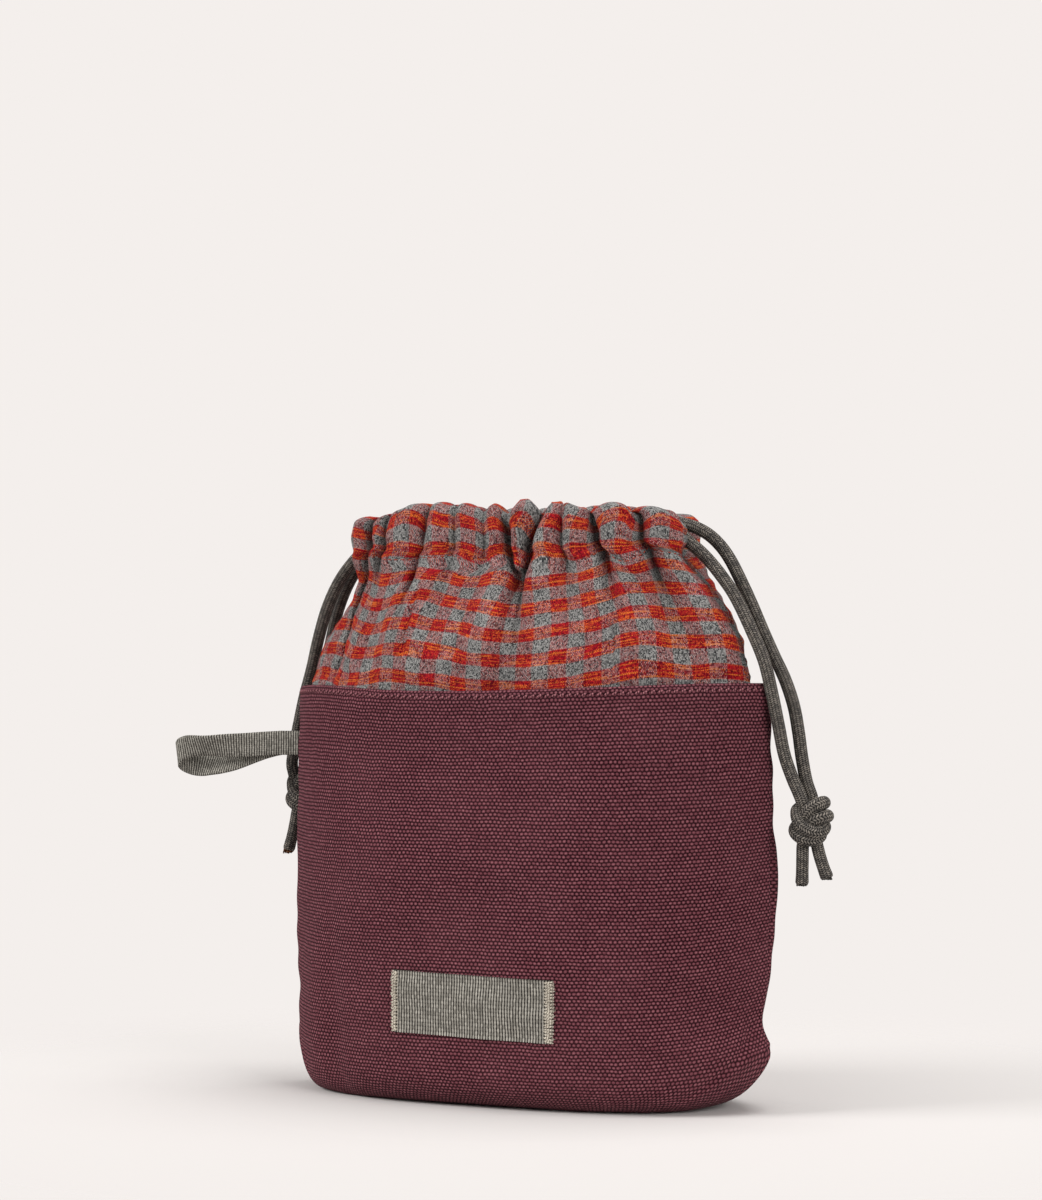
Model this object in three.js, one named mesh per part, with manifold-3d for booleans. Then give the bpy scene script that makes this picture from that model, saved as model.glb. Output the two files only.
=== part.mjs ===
// A small drawstring pantry bag: a canvas tub, a gathered cloth collar and two drawcords.
// Millimetres. +X is the bag's right, -Y its front (the label side), +Z up.
// The origin is the middle of the flat base, on the surface the bag stands on.

import * as THREE from 'three';
import { mergeVertices } from 'three/addons/utils/BufferGeometryUtils.js';
import Module from 'manifold-3d';

// Clearances
const GAP = 0.3; // between two pieces that touch
const HALF_GAP = GAP / 2; // from a seam's plane to the cloth on each side of it

// Canvas tub
const BAG_HALF_WIDTH = 104; // middle to side seam, at the rim
const BASE_HALF_WIDTH = 101; // middle to side seam, just above the base
const BAG_HALF_DEPTH = 45; // middle to front panel, at the rim
const BAG_BULGE = 2; // how far the filled wall stands out at mid height
const RIM_HEIGHT = 162;
const RIM_FULLNESS = 2.4; // exponent along a panel at the rim
const BASE_FULLNESS = 3; // the same at the base, nearer a box
const RIM_PINCH = 1.25; // exponent towards the side seams at the rim, where 1 is a sharp corner
const BASE_PINCH = 1.35; // the same at the base
const FLOOR_HALF_WIDTH = 80; // the part of the base that lies flat
const FLOOR_HALF_DEPTH = 30;
const FLOOR_ROUNDNESS = 3.2; // exponent of the flat part's oval
const CANVAS_THICKNESS = 1.4;
const HEM_THICKNESS = 2.4;
const HEM_HEIGHT = 11;
const BASE_RADIUS_FRONT = 15; // height of the rounding between the front panel and the base
const BASE_RADIUS_SIDE = 22; // height of the rounding under each side seam
const LINING_THICKNESS = 0.7;

// Label and its end stitches
const LABEL_WIDTH = 68;
const LABEL_HEIGHT = 24;
const LABEL_THICKNESS = 0.8;
const LABEL_CENTRE_X = -1.5;
const LABEL_CENTRE_Z = 39;
const STITCH_WIDTH = 2.6;
const STITCH_THICKNESS = 0.6;

// Collar
const COLLAR_SEAM_DROP = 6; // the collar is sewn in this far below the rim
const COLLAR_THICKNESS = 1.2;
const COLLAR_SWING_ROOM = 2.4; // room in front of the collar for it to lean out
const COLLAR_SEAM_ROOM = 1; // room at the pinched side seams
const COLLAR_HEIGHT = 58;
const PLEATS = 7; // folds on each half
const PLEAT_STEPS = 6;
const PLEAT_DEPTH = 4.4; // top of a fold to its valley

// Casing, the channel at the mouth that holds the cords
const CORD_DIAMETER = 5;
const TRACK_SPACING = 6.5; // between the two cords inside the casing
const CHANNEL_CLEARANCE = 0.4;
const CASING_WALL = 0.8;
const CASING_HEIGHT = 20;
const MOUTH_HALF_WIDTH = 63.8; // to the cords' centre line
const MOUTH_HALF_DEPTH = 16; // to the cords' centre line, at the middle
const MOUTH_BOW = 2.2; // how far the middle of each side stands out
const SLOT_HALF_WIDTH = 7; // the casing stops this far from each side seam
const MOUTH_STRAIGHT = 0.8; // straight stretch of the casing beside each slot
const TRACK_LIFT = 6; // casing's lower edge to the lower cord's centre

// Knots and tails
const KNOT_RADIUS = 8.4;
const KNOT_HEIGHT = 19;
const KNOT_FACE_RADIUS = 6.2;
const TAIL_LENGTH = 16;

// Loop of narrow webbing in the left seam
const LOOP_HEIGHT = RIM_HEIGHT - 23; // middle of the tape, where the side seam holds it
const LOOP_TAPE_WIDTH = 10;
const LOOP_TAPE_THICKNESS = 1.3;
const LOOP_LENGTH = 50;
const LOOP_HALF_WIDTH = 5; // half the loop's width at the eye, outside
const LOOP_DROOP = 7;
const LOOP_TAB_LENGTH = 4;

const AXIS_HEIGHT = RIM_HEIGHT - COLLAR_SEAM_DROP;
const CASING_BASE = AXIS_HEIGHT + COLLAR_HEIGHT + GAP;
const CASING_TOP = CASING_BASE + CASING_HEIGHT;
const LOWER_TRACK = CASING_BASE + TRACK_LIFT;
const UPPER_TRACK = LOWER_TRACK + TRACK_SPACING;
const CORD_RADIUS = CORD_DIAMETER / 2;
const CHANNEL_HALF = CORD_RADIUS + CHANNEL_CLEARANCE;
const CASING_INSIDE = -(CHANNEL_HALF + CASING_WALL);
const CASING_OUTSIDE = CHANNEL_HALF + CASING_WALL + PLEAT_DEPTH;

const wasm = await Module();
wasm.setup();

// Colours of the cloths and cords
const finish = (color, roughness) => new THREE.MeshStandardMaterial({ color, roughness, metalness: 0 });
const CANVAS = () => finish(0x5d353b, 0.95);
const GINGHAM = () => finish(0x89524b, 0.9);
const BRAID = () => finish(0x69645c, 0.8);
const WEBBING = () => finish(0x97928c, 0.85);
const THREAD = () => finish(0xc9bfae, 0.8);

// Mesh and solid helpers
function solidMesh(name, positions, indices, material) {
  let geometry = new THREE.BufferGeometry();
  geometry.setAttribute('position', new THREE.Float32BufferAttribute(positions, 3));
  geometry.setIndex(indices);
  geometry = mergeVertices(geometry, 1e-5);
  geometry.computeVertexNormals();
  const mesh = new THREE.Mesh(geometry, material);
  mesh.name = name;
  return mesh;
}

function toManifold(mesh) {
  const geometry = mesh.geometry;
  return new wasm.Manifold(new wasm.Mesh({
    numProp: 3,
    vertProperties: new Float32Array(geometry.attributes.position.array),
    triVerts: new Uint32Array(geometry.index.array),
  }));
}

function fromManifold(name, solid, material) {
  const result = solid.getMesh();
  return solidMesh(name, Array.from(result.vertProperties), Array.from(result.triVerts), material);
}

function block(low, high) {
  const size = high.map((value, k) => value - low[k]);
  const geometry = new THREE.BoxGeometry(size[0], size[1], size[2]);
  geometry.translate((low[0] + high[0]) / 2, (low[1] + high[1]) / 2, (low[2] + high[2]) / 2);
  geometry.deleteAttribute('normal');
  geometry.deleteAttribute('uv');
  return new THREE.Mesh(mergeVertices(geometry, 1e-5));
}

// A sheet with two faces: outer[row][column] and inner[row][column], closed round its four edges.
function sheet(name, outer, inner, material) {
  const rows = outer.length;
  const columns = outer[0].length;
  const positions = [];
  for (const grid of [outer, inner]) {
    for (const row of grid) {
      for (const point of row) positions.push(...point);
    }
  }
  const at = (side, row, column) => side * rows * columns + row * columns + column;
  const indices = [];
  const quad = (a, b, c, d) => indices.push(a, b, c, a, c, d);
  for (let r = 0; r + 1 < rows; r++) {
    for (let c = 0; c + 1 < columns; c++) {
      quad(at(0, r, c), at(0, r, c + 1), at(0, r + 1, c + 1), at(0, r + 1, c));
      quad(at(1, r, c), at(1, r + 1, c), at(1, r + 1, c + 1), at(1, r, c + 1));
    }
  }
  for (let c = 0; c + 1 < columns; c++) {
    quad(at(0, 0, c), at(1, 0, c), at(1, 0, c + 1), at(0, 0, c + 1));
    quad(at(0, rows - 1, c), at(0, rows - 1, c + 1), at(1, rows - 1, c + 1), at(1, rows - 1, c));
  }
  for (let r = 0; r + 1 < rows; r++) {
    quad(at(0, r, 0), at(0, r + 1, 0), at(1, r + 1, 0), at(1, r, 0));
    quad(at(0, r, columns - 1), at(1, r, columns - 1), at(1, r + 1, columns - 1), at(0, r + 1, columns - 1));
  }
  return solidMesh(name, positions, indices, material);
}

// Outlines of the bag seen from above
function equalSteps(points, count) {
  const lengths = [0];
  for (let k = 1; k < points.length; k++) {
    lengths.push(lengths[k - 1] + Math.hypot(points[k][0] - points[k - 1][0], points[k][1] - points[k - 1][1]));
  }
  const total = lengths[lengths.length - 1];
  const result = [];
  let k = 0;
  for (let step = 0; step <= count; step++) {
    const target = (total * step) / count;
    while (k < points.length - 2 && lengths[k + 1] < target) k++;
    const share = (target - lengths[k]) / (lengths[k + 1] - lengths[k]);
    result.push([0, 1].map((axis) => points[k][axis] + share * (points[k + 1][axis] - points[k][axis])));
  }
  return result;
}

// The front half of an oval, from the left seam to the right one
function halfOval(halfWidth, halfDepth, fullness, pinch, count) {
  const points = [];
  const fine = 360;
  for (let k = 0; k <= fine; k++) {
    const angle = (Math.PI * k) / fine;
    const cosine = Math.cos(angle);
    const sine = Math.max(0, Math.sin(angle));
    const x = -halfWidth * Math.sign(cosine) * Math.abs(cosine) ** (2 / fullness);
    points.push([x, k === 0 || k === fine ? 0 : -halfDepth * sine ** (2 / pinch)]);
  }
  return equalSteps(points, count);
}

// The front half of the drawn mouth: straight by the seams, a round corner, then a shallow bow.
function halfMouth(offset, count) {
  const halfWidth = MOUTH_HALF_WIDTH + offset;
  const straight = SLOT_HALF_WIDTH + MOUTH_STRAIGHT;
  const radius = MOUTH_HALF_DEPTH - straight - MOUTH_BOW + offset;
  const reach = halfWidth - radius;
  const points = [[-halfWidth, -SLOT_HALF_WIDTH]];
  for (let k = 0; k <= 24; k++) {
    const angle = (Math.PI * k) / 48;
    points.push([-reach - radius * Math.cos(angle), -straight - radius * Math.sin(angle)]);
  }
  for (let k = 1; k < 80; k++) {
    const x = reach * (k / 40 - 1);
    points.push([x, -straight - radius - MOUTH_BOW * (1 - (x / reach) ** 2)]);
  }
  for (let k = 24; k >= 0; k--) points.push([-points[k + 1][0], points[k + 1][1]]);
  points.push([halfWidth, -SLOT_HALF_WIDTH]);
  return equalSteps(points, count);
}

function normals(points) {
  return points.map((point, k) => {
    const before = points[Math.max(0, k - 1)];
    const after = points[Math.min(points.length - 1, k + 1)];
    const dx = after[0] - before[0];
    const dy = after[1] - before[1];
    const length = Math.hypot(dx, dy);
    if (k === 0) return [-1, 0];
    if (k === points.length - 1) return [1, 0];
    return [dy / length, -dx / length];
  });
}

const mirrorRow = (row) => row.map((point) => [point[0], -point[1], point[2]]).reverse();

// Canvas tub: one cup, cut into the front-and-base panel and the back panel
function tubSection(height) {
  const share = Math.min(1, Math.max(0, height / RIM_HEIGHT));
  const bulge = BAG_BULGE * Math.sin(Math.PI * share);
  return {
    halfWidth: BASE_HALF_WIDTH + (BAG_HALF_WIDTH - BASE_HALF_WIDTH) * share + bulge,
    halfDepth: BAG_HALF_DEPTH + bulge,
    fullness: BASE_FULLNESS + (RIM_FULLNESS - BASE_FULLNESS) * share,
    pinch: BASE_PINCH + (RIM_PINCH - BASE_PINCH) * share,
  };
}

function clothInset(height) {
  return height > RIM_HEIGHT - HEM_HEIGHT ? HEM_THICKNESS : CANVAS_THICKNESS;
}

// One ring of the tub's surface. drop runs from 0 at the top to 1 where the rounding starts,
// turn from 0 to 90 degrees round the base rounding, which ends at the flat part's outline.
function tubRing(count, top, drop, turn, depth) {
  const levelHeight = top + drop * (BASE_RADIUS_FRONT - top);
  const section = tubSection(levelHeight);
  const half = halfOval(section.halfWidth, section.halfDepth, section.fullness, section.pinch, count);
  const floor = halfOval(FLOOR_HALF_WIDTH, FLOOR_HALF_DEPTH, FLOOR_ROUNDNESS, FLOOR_ROUNDNESS, count);
  const out = normals(half);
  const front = half.map((point, k) => {
    const nearSeam = Math.abs(point[0] / section.halfWidth) ** 6;
    const radius = BASE_RADIUS_FRONT + (BASE_RADIUS_SIDE - BASE_RADIUS_FRONT) * nearSeam;
    const height = top + drop * (radius - top);
    const wall = turn === 0 ? depth(height) : depth(0);
    const way = 1 - Math.cos(turn);
    const place = [0, 1].map((axis) => {
      const side = point[axis] - wall * out[k][axis];
      return side + way * (floor[k][axis] - side);
    });
    return [...place, turn === 0 ? height : radius - (radius - wall) * Math.sin(turn)];
  });
  front[0][1] = 0;
  front[count][1] = 0;
  const back = front.slice(1, count).reverse().map((point) => [point[0], -point[1], point[2]]);
  return [...front, ...back];
}

function tubRings(count, top, depth, drops) {
  const rings = drops.map((drop) => tubRing(count, top, drop, 0, depth));
  for (const degrees of [25, 50, 72, 90]) {
    rings.push(tubRing(count, top, 1, (degrees * Math.PI) / 180, depth));
  }
  const last = rings[rings.length - 1];
  rings.push(last.map((point) => [point[0] * 0.5, point[1] * 0.5, point[2]]));
  return rings;
}

function cup(name, count, top, outerDepth, innerDepth, drops, material) {
  const outer = tubRings(count, top, outerDepth, drops);
  const inner = tubRings(count, top, innerDepth, drops);
  const rows = outer.length;
  const ring = outer[0].length;
  const positions = [];
  for (const grid of [outer, inner]) {
    for (const row of grid) {
      for (const point of row) positions.push(...point);
    }
  }
  const at = (side, row, column) => side * rows * ring + row * ring + (column % ring);
  const outerCentre = positions.length / 3;
  positions.push(0, 0, outer[rows - 1][0][2]);
  positions.push(0, 0, inner[rows - 1][0][2]);
  const indices = [];
  const quad = (a, b, c, d) => indices.push(a, b, c, a, c, d);
  for (let c = 0; c < ring; c++) {
    for (let r = 0; r + 1 < rows; r++) {
      quad(at(0, r, c), at(0, r + 1, c), at(0, r + 1, c + 1), at(0, r, c + 1));
      quad(at(1, r, c), at(1, r, c + 1), at(1, r + 1, c + 1), at(1, r + 1, c));
    }
    quad(at(0, 0, c), at(0, 0, c + 1), at(1, 0, c + 1), at(1, 0, c));
    indices.push(at(0, rows - 1, c), outerCentre, at(0, rows - 1, c + 1));
    indices.push(at(1, rows - 1, c), at(1, rows - 1, c + 1), outerCentre + 1);
  }
  return solidMesh(name, positions, indices, material);
}

const hemShare = HEM_HEIGHT / (RIM_HEIGHT - BASE_RADIUS_FRONT);
const tubDrops = [0, hemShare - 0.004, hemShare + 0.004, 0.3, 0.55, 0.8, 1];
const TUB_COLUMNS = 34;
const canvasCup = toManifold(cup('canvas', TUB_COLUMNS, RIM_HEIGHT, () => 0, clothInset, tubDrops, CANVAS()));
const FAR = BAG_HALF_WIDTH * 2;
const SEAM_HEIGHT = BASE_RADIUS_SIDE + 1;
const backCutter = toManifold(block([-FAR, HALF_GAP, SEAM_HEIGHT + GAP], [FAR, FAR, FAR]));
const frontCutter = toManifold(block([-FAR, -HALF_GAP, SEAM_HEIGHT], [FAR, FAR, FAR]));
const canvasFront = fromManifold('canvas_front_and_base', canvasCup.subtract(frontCutter), CANVAS());
const canvasBack = fromManifold('canvas_back', canvasCup.intersect(backCutter), CANVAS());

const liningOuter = (height) => clothInset(height) + GAP;
const liningInner = (height) => clothInset(height) + GAP + LINING_THICKNESS;
const liningTopDrop = (COLLAR_SEAM_DROP + GAP) / (RIM_HEIGHT - BASE_RADIUS_FRONT);
const liningDrops = [liningTopDrop, ...tubDrops.slice(1)];
const lining = cup('lining', TUB_COLUMNS, RIM_HEIGHT, liningOuter, liningInner, liningDrops, GINGHAM());

// Label on the front panel, and the stitching over its two short ends
function frontSurface(x, z) {
  const section = tubSection(z);
  const share = Math.min(1, Math.abs(x) / section.halfWidth);
  return -section.halfDepth * (1 - share ** section.fullness) ** (1 / section.pinch);
}

function patch(name, centreX, centreZ, width, height, base, thickness, material) {
  const across = Math.max(1, Math.round(width / 8));
  const grid = (standOff) => [0.5, 0, -0.5].map((v) => {
    const row = [];
    for (let k = 0; k <= across; k++) {
      const x = centreX + width * (k / across - 0.5);
      const z = centreZ + height * v;
      row.push([x, frontSurface(x, z) - standOff, z]);
    }
    return row;
  });
  return sheet(name, grid(base + thickness).map((row) => row.reverse()), grid(base).map((row) => row.reverse()),
    material);
}

const labelBase = 2 * GAP;
const label = patch('label', LABEL_CENTRE_X, LABEL_CENTRE_Z, LABEL_WIDTH, LABEL_HEIGHT,
  labelBase, LABEL_THICKNESS, WEBBING());
const stitchBase = labelBase + LABEL_THICKNESS + GAP;
const stitchOffset = (LABEL_WIDTH - STITCH_WIDTH) / 2;
const stitchLeft = patch('label_stitch_left', LABEL_CENTRE_X - stitchOffset, LABEL_CENTRE_Z, STITCH_WIDTH,
  LABEL_HEIGHT, stitchBase, STITCH_THICKNESS, THREAD());
const stitchRight = patch('label_stitch_right', LABEL_CENTRE_X + stitchOffset, LABEL_CENTRE_Z, STITCH_WIDTH,
  LABEL_HEIGHT, stitchBase, STITCH_THICKNESS, THREAD());

// Collar: a gathered cloth wall that narrows from the rim to the mouth
const RIM_IN = HEM_THICKNESS + LINING_THICKNESS + 2 * GAP; // the collar slides inside the lining's top edge
const collarColumns = PLEATS * PLEAT_STEPS;

// Each level: share of the collar's height, share of the way in from the rim to the mouth.
const COLLAR_LEVELS = [[0, 0], [0.1, 0], [0.28, 0.05], [0.47, 0.17], [0.66, 0.4], [0.82, 0.65], [0.93, 0.87], [1, 1]];
const rimPath = halfOval(BAG_HALF_WIDTH - RIM_IN - COLLAR_SEAM_ROOM, BAG_HALF_DEPTH - RIM_IN - COLLAR_SWING_ROOM,
  RIM_FULLNESS, RIM_PINCH, collarColumns);
const mouthPath = halfMouth(CASING_OUTSIDE, collarColumns);

// How far column k stands in from the top of the folds
function foldInset(k) {
  const fold = Math.cos((2 * Math.PI * k) / PLEAT_STEPS + Math.PI);
  const edge = Math.min(1, Math.min(k, collarColumns - k) / 3);
  return (PLEAT_DEPTH * (1 - fold * edge)) / 2;
}

function collarGrid(inset) {
  return COLLAR_LEVELS.map(([up, way]) => {
    const z = AXIS_HEIGHT + COLLAR_HEIGHT * up;
    const path = rimPath.map((point, k) => [0, 1].map((axis) => point[axis] + way * (mouthPath[k][axis] - point[axis])));
    const out = normals(path);
    const row = path.map((point, k) => {
      const offset = -foldInset(k) * way - inset;
      const y = Math.min(point[1] + offset * out[k][1], -2 * HALF_GAP);
      return [point[0] + offset * out[k][0], y, z];
    });
    const last = row[row.length - 1];
    return [[row[0][0], -HALF_GAP, z], ...row, [last[0], -HALF_GAP, z]];
  });
}

const collarOuter = collarGrid(0);
const collarInner = collarGrid(COLLAR_THICKNESS);
const collarFront = sheet('collar_front', collarOuter.slice().reverse().map((row) => row.slice().reverse()),
  collarInner.slice().reverse().map((row) => row.slice().reverse()), GINGHAM());
const collarBack = sheet('collar_back', collarOuter.slice().reverse().map((row) => mirrorRow(row.slice().reverse())),
  collarInner.slice().reverse().map((row) => mirrorRow(row.slice().reverse())), GINGHAM());

// Casing: a two-wall channel, pleated outside, smooth where the cords run
function casingRing(columns, sign) {
  const path = halfMouth(0, columns);
  const out = normals(path);
  const channelLow = LOWER_TRACK - CHANNEL_HALF;
  const channelHigh = UPPER_TRACK + CHANNEL_HALF;
  return path.map((point, k) => {
    const outside = CASING_OUTSIDE - foldInset(k);
    const outer = [
      [CASING_INSIDE, CASING_BASE], [outside, CASING_BASE], [outside + 0.4, (CASING_BASE + CASING_TOP) / 2],
      [outside, CASING_TOP - 2.5], [(outside + CASING_INSIDE) / 2, CASING_TOP], [CASING_INSIDE, CASING_TOP - 2],
    ];
    const inner = [
      [-CHANNEL_HALF, channelLow], [CHANNEL_HALF, channelLow], [CHANNEL_HALF, (channelLow + channelHigh) / 2],
      [CHANNEL_HALF, channelHigh], [0, channelHigh], [-CHANNEL_HALF, channelHigh],
    ];
    const place = ([offset, z]) => [point[0] + offset * out[k][0], sign * (point[1] + offset * out[k][1]), z];
    return { outer: outer.map(place), inner: inner.map(place) };
  });
}

function channel(name, sign, material) {
  const columns = collarColumns;
  const rings = casingRing(columns, sign);
  const count = rings[0].outer.length;
  const positions = [];
  for (const ring of rings) {
    for (const point of [...ring.outer, ...ring.inner]) positions.push(...point);
  }
  const at = (column, side, j) => column * 2 * count + side * count + (j % count);
  const indices = [];
  const quad = (a, b, c, d) => {
    if (sign > 0) indices.push(a, c, b, a, d, c);
    else indices.push(a, b, c, a, c, d);
  };
  for (let j = 0; j < count; j++) {
    for (let k = 0; k < columns; k++) {
      quad(at(k, 0, j), at(k, 0, j + 1), at(k + 1, 0, j + 1), at(k + 1, 0, j));
      quad(at(k, 1, j), at(k + 1, 1, j), at(k + 1, 1, j + 1), at(k, 1, j + 1));
    }
    quad(at(0, 0, j), at(0, 1, j), at(0, 1, j + 1), at(0, 0, j + 1));
    quad(at(columns, 0, j), at(columns, 0, j + 1), at(columns, 1, j + 1), at(columns, 1, j));
  }
  return solidMesh(name, positions, indices, material);
}

const casingFront = channel('casing_front', 1, GINGHAM());
const casingBack = channel('casing_back', -1, GINGHAM());

// Cords: round tubes along their own lines
const cordSection = new THREE.Shape();
for (let k = 0; k < 8; k++) {
  const angle = (2 * Math.PI * (k + 0.5)) / 8;
  const x = CORD_RADIUS * Math.cos(angle);
  const y = CORD_RADIUS * Math.sin(angle);
  if (k === 0) cordSection.moveTo(x, y);
  else cordSection.lineTo(x, y);
}
cordSection.closePath();

function cord(name, points, steps, material = BRAID()) {
  const curve = new THREE.CatmullRomCurve3(points.map((point) => new THREE.Vector3(...point)), false, 'centripetal');
  curve.arcLengthDivisions = 800;
  let geometry = new THREE.ExtrudeGeometry(cordSection, { extrudePath: curve, steps, bevelEnabled: false });
  geometry.deleteAttribute('normal');
  geometry.deleteAttribute('uv');
  geometry = mergeVertices(geometry, 1e-4);
  geometry.computeVertexNormals();
  const mesh = new THREE.Mesh(geometry, material);
  mesh.name = name;
  return mesh;
}

// A cord inside the casing. It turns round the far seam and stops where the casing ends.
function channelCord(name, exitSide, sign, z) {
  const path = halfMouth(0, 30);
  path.splice(1, 0, [path[0][0], path[0][1] - MOUTH_STRAIGHT * 0.8]);
  path.splice(path.length - 1, 0, [path[path.length - 1][0], path[path.length - 1][1] - MOUTH_STRAIGHT * 0.8]);
  const far = exitSide > 0 ? -1 : 1;
  const ordered = far < 0 ? path : path.slice().reverse();
  const points = [
    [far * MOUTH_HALF_WIDTH, -sign * HALF_GAP, z],
    [far * MOUTH_HALF_WIDTH, -sign * SLOT_HALF_WIDTH * 0.5, z],
    ...ordered.map((point) => [point[0], sign * point[1], z]),
  ];
  return cord(name, points, 24);
}

const channelCords = [
  channelCord('right_cord_in_front_casing', 1, 1, UPPER_TRACK),
  channelCord('right_cord_in_back_casing', 1, -1, UPPER_TRACK),
  channelCord('left_cord_in_front_casing', -1, 1, LOWER_TRACK),
  channelCord('left_cord_in_back_casing', -1, -1, LOWER_TRACK),
];

// Free runs: from the slot at the side seam, over the collar and the rim, down to the knot
const slotY = SLOT_HALF_WIDTH - GAP;
const startX = MOUTH_HALF_WIDTH;
const RIGHT_KNOT = [122, 0, 111];
const LEFT_KNOT = [-112, 18, 119];
const knotFace = KNOT_HEIGHT / 2 + GAP;
const side = CORD_RADIUS * 0.76;

const rightFrontRun = cord('right_cord_front_run', [
  [startX, -slotY, UPPER_TRACK], [startX, -slotY + 0.6, UPPER_TRACK], [startX + 1, -4.6, UPPER_TRACK],
  [startX + 2.9, -3.4, UPPER_TRACK], [startX + 5.6, -3.1, UPPER_TRACK - 0.8],
  [76, -3.2, 218.5], [82, -3.6, 210], [91.5, -4, 197.5], [98.5, -4, 184], [104, -3.6, 172],
  [107.5, -3.2, 160], [110, -3, 148], [113.6, -2.6, 136],
  [118.6, -2, RIGHT_KNOT[2] + knotFace + 6],
  [RIGHT_KNOT[0] - side, RIGHT_KNOT[1] - side, RIGHT_KNOT[2] + knotFace + 2],
  [RIGHT_KNOT[0] - side, RIGHT_KNOT[1] - side, RIGHT_KNOT[2] + knotFace],
], 26);
const rightBackRun = cord('right_cord_back_run', [
  [startX, slotY, UPPER_TRACK], [startX, slotY - 0.6, UPPER_TRACK], [startX + 1, 4.6, UPPER_TRACK + 0.1],
  [startX + 2.9, 3.4, UPPER_TRACK + 0.4], [startX + 5.6, 2.9, UPPER_TRACK + 1.4],
  [75, 2.8, 227.6], [82, 2.9, 224], [88.5, 3, 216], [95, 3, 204], [100.5, 3, 190], [105.5, 3, 176],
  [110, 3, 162], [115, 2.8, 148], [120, 2.4, 134],
  [RIGHT_KNOT[0] + side, RIGHT_KNOT[1] + side, RIGHT_KNOT[2] + knotFace + 3],
  [RIGHT_KNOT[0] + side, RIGHT_KNOT[1] + side, RIGHT_KNOT[2] + knotFace],
], 28);
const leftFrontRun = cord('left_cord_front_run', [
  [-startX, -slotY, LOWER_TRACK], [-startX, -slotY + 0.6, LOWER_TRACK], [-startX - 1, -4.6, LOWER_TRACK - 0.1],
  [-startX - 2.9, -3.2, LOWER_TRACK - 0.5], [-startX - 5.6, -2.6, LOWER_TRACK - 2],
  [-76.5, -2, 212.5], [-84, -0.6, 205.5], [-92, 1.4, 195], [-98.5, 4.2, 182], [-103, 7.4, 170],
  [-107.4, 10, 158], [-110.6, 12.4, 146], [-113, 14.6, 137],
  [LEFT_KNOT[0] - side, LEFT_KNOT[1] - side, LEFT_KNOT[2] + knotFace + 2],
  [LEFT_KNOT[0] - side, LEFT_KNOT[1] - side, LEFT_KNOT[2] + knotFace],
], 26);
const leftBackRun = cord('left_cord_back_run', [
  [-startX, slotY, LOWER_TRACK], [-startX, slotY - 0.6, LOWER_TRACK], [-startX - 1, 4.8, LOWER_TRACK - 0.1],
  [-startX - 2.9, 3.8, LOWER_TRACK - 0.5], [-startX - 5.6, 3.7, LOWER_TRACK - 1.8],
  [-76.5, 4.6, 212.5], [-84, 6, 205], [-91, 8.6, 195], [-96.5, 11.4, 182], [-100.5, 14.4, 170],
  [-104, 17, 158], [-106.6, 19, 146], [-108.8, 20, 137],
  [LEFT_KNOT[0] + side, LEFT_KNOT[1] + side, LEFT_KNOT[2] + knotFace + 2],
  [LEFT_KNOT[0] + side, LEFT_KNOT[1] + side, LEFT_KNOT[2] + knotFace],
], 26);

// Overhand knots: a rounded drum with a waist, and two short cut tails
function knot(name, centre) {
  const half = KNOT_HEIGHT / 2;
  const profile = [
    [0, -half], [KNOT_FACE_RADIUS, -half], [KNOT_RADIUS, -half * 0.62], [KNOT_RADIUS, -half * 0.3],
    [KNOT_RADIUS * 0.9, 0], [KNOT_RADIUS, half * 0.3], [KNOT_RADIUS, half * 0.62],
    [KNOT_FACE_RADIUS, half], [0, half],
  ].map((point) => new THREE.Vector2(point[0], point[1]));
  let geometry = new THREE.LatheGeometry(profile, 14);
  geometry.rotateX(Math.PI / 2);
  geometry.deleteAttribute('normal');
  geometry.deleteAttribute('uv');
  geometry = mergeVertices(geometry, 1e-4);
  const clean = [];
  const index = geometry.index.array;
  for (let k = 0; k < index.length; k += 3) {
    const [a, b, c] = [index[k], index[k + 1], index[k + 2]];
    if (a !== b && b !== c && a !== c) clean.push(a, b, c);
  }
  geometry.setIndex(clean);
  geometry.computeVertexNormals();
  const mesh = new THREE.Mesh(geometry, BRAID());
  mesh.name = name;
  mesh.position.set(...centre);
  return mesh;
}

function tail(name, centre, dx, dy, lean) {
  const top = centre[2] - KNOT_HEIGHT / 2 - GAP;
  return cord(name, [
    [centre[0] + dx, centre[1] + dy, top],
    [centre[0] + dx, centre[1] + dy, top - 2],
    [centre[0] + dx + lean * 0.4, centre[1] + dy, top - TAIL_LENGTH * 0.55],
    [centre[0] + dx + lean, centre[1] + dy, top - TAIL_LENGTH],
  ], 5);
}

const knots = [
  knot('right_knot', RIGHT_KNOT),
  tail('right_tail_front', RIGHT_KNOT, -2.4, -2, -1.4),
  tail('right_tail_back', RIGHT_KNOT, 2.4, 2, 4.4),
  knot('left_knot', LEFT_KNOT),
  tail('left_tail_front', LEFT_KNOT, -2.4, -2, -2.4),
  tail('left_tail_back', LEFT_KNOT, 2.4, 2, 1.4),
];

// Webbing loop: a stitched tab in the seam, and a flat teardrop that turns beside it
const seamX = -(tubSection(LOOP_HEIGHT).halfWidth);
const noseRadius = LOOP_TAPE_THICKNESS;
const tabEnd = seamX - GAP - LOOP_TAB_LENGTH;
const pivotX = tabEnd - GAP - noseRadius;
const tab = new THREE.Mesh(
  new THREE.BoxGeometry(LOOP_TAB_LENGTH, 2 * LOOP_TAPE_THICKNESS, LOOP_TAPE_WIDTH), WEBBING());
tab.name = 'loop_tab';
tab.position.set(seamX - GAP - LOOP_TAB_LENGTH / 2, 0, LOOP_HEIGHT);

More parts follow.
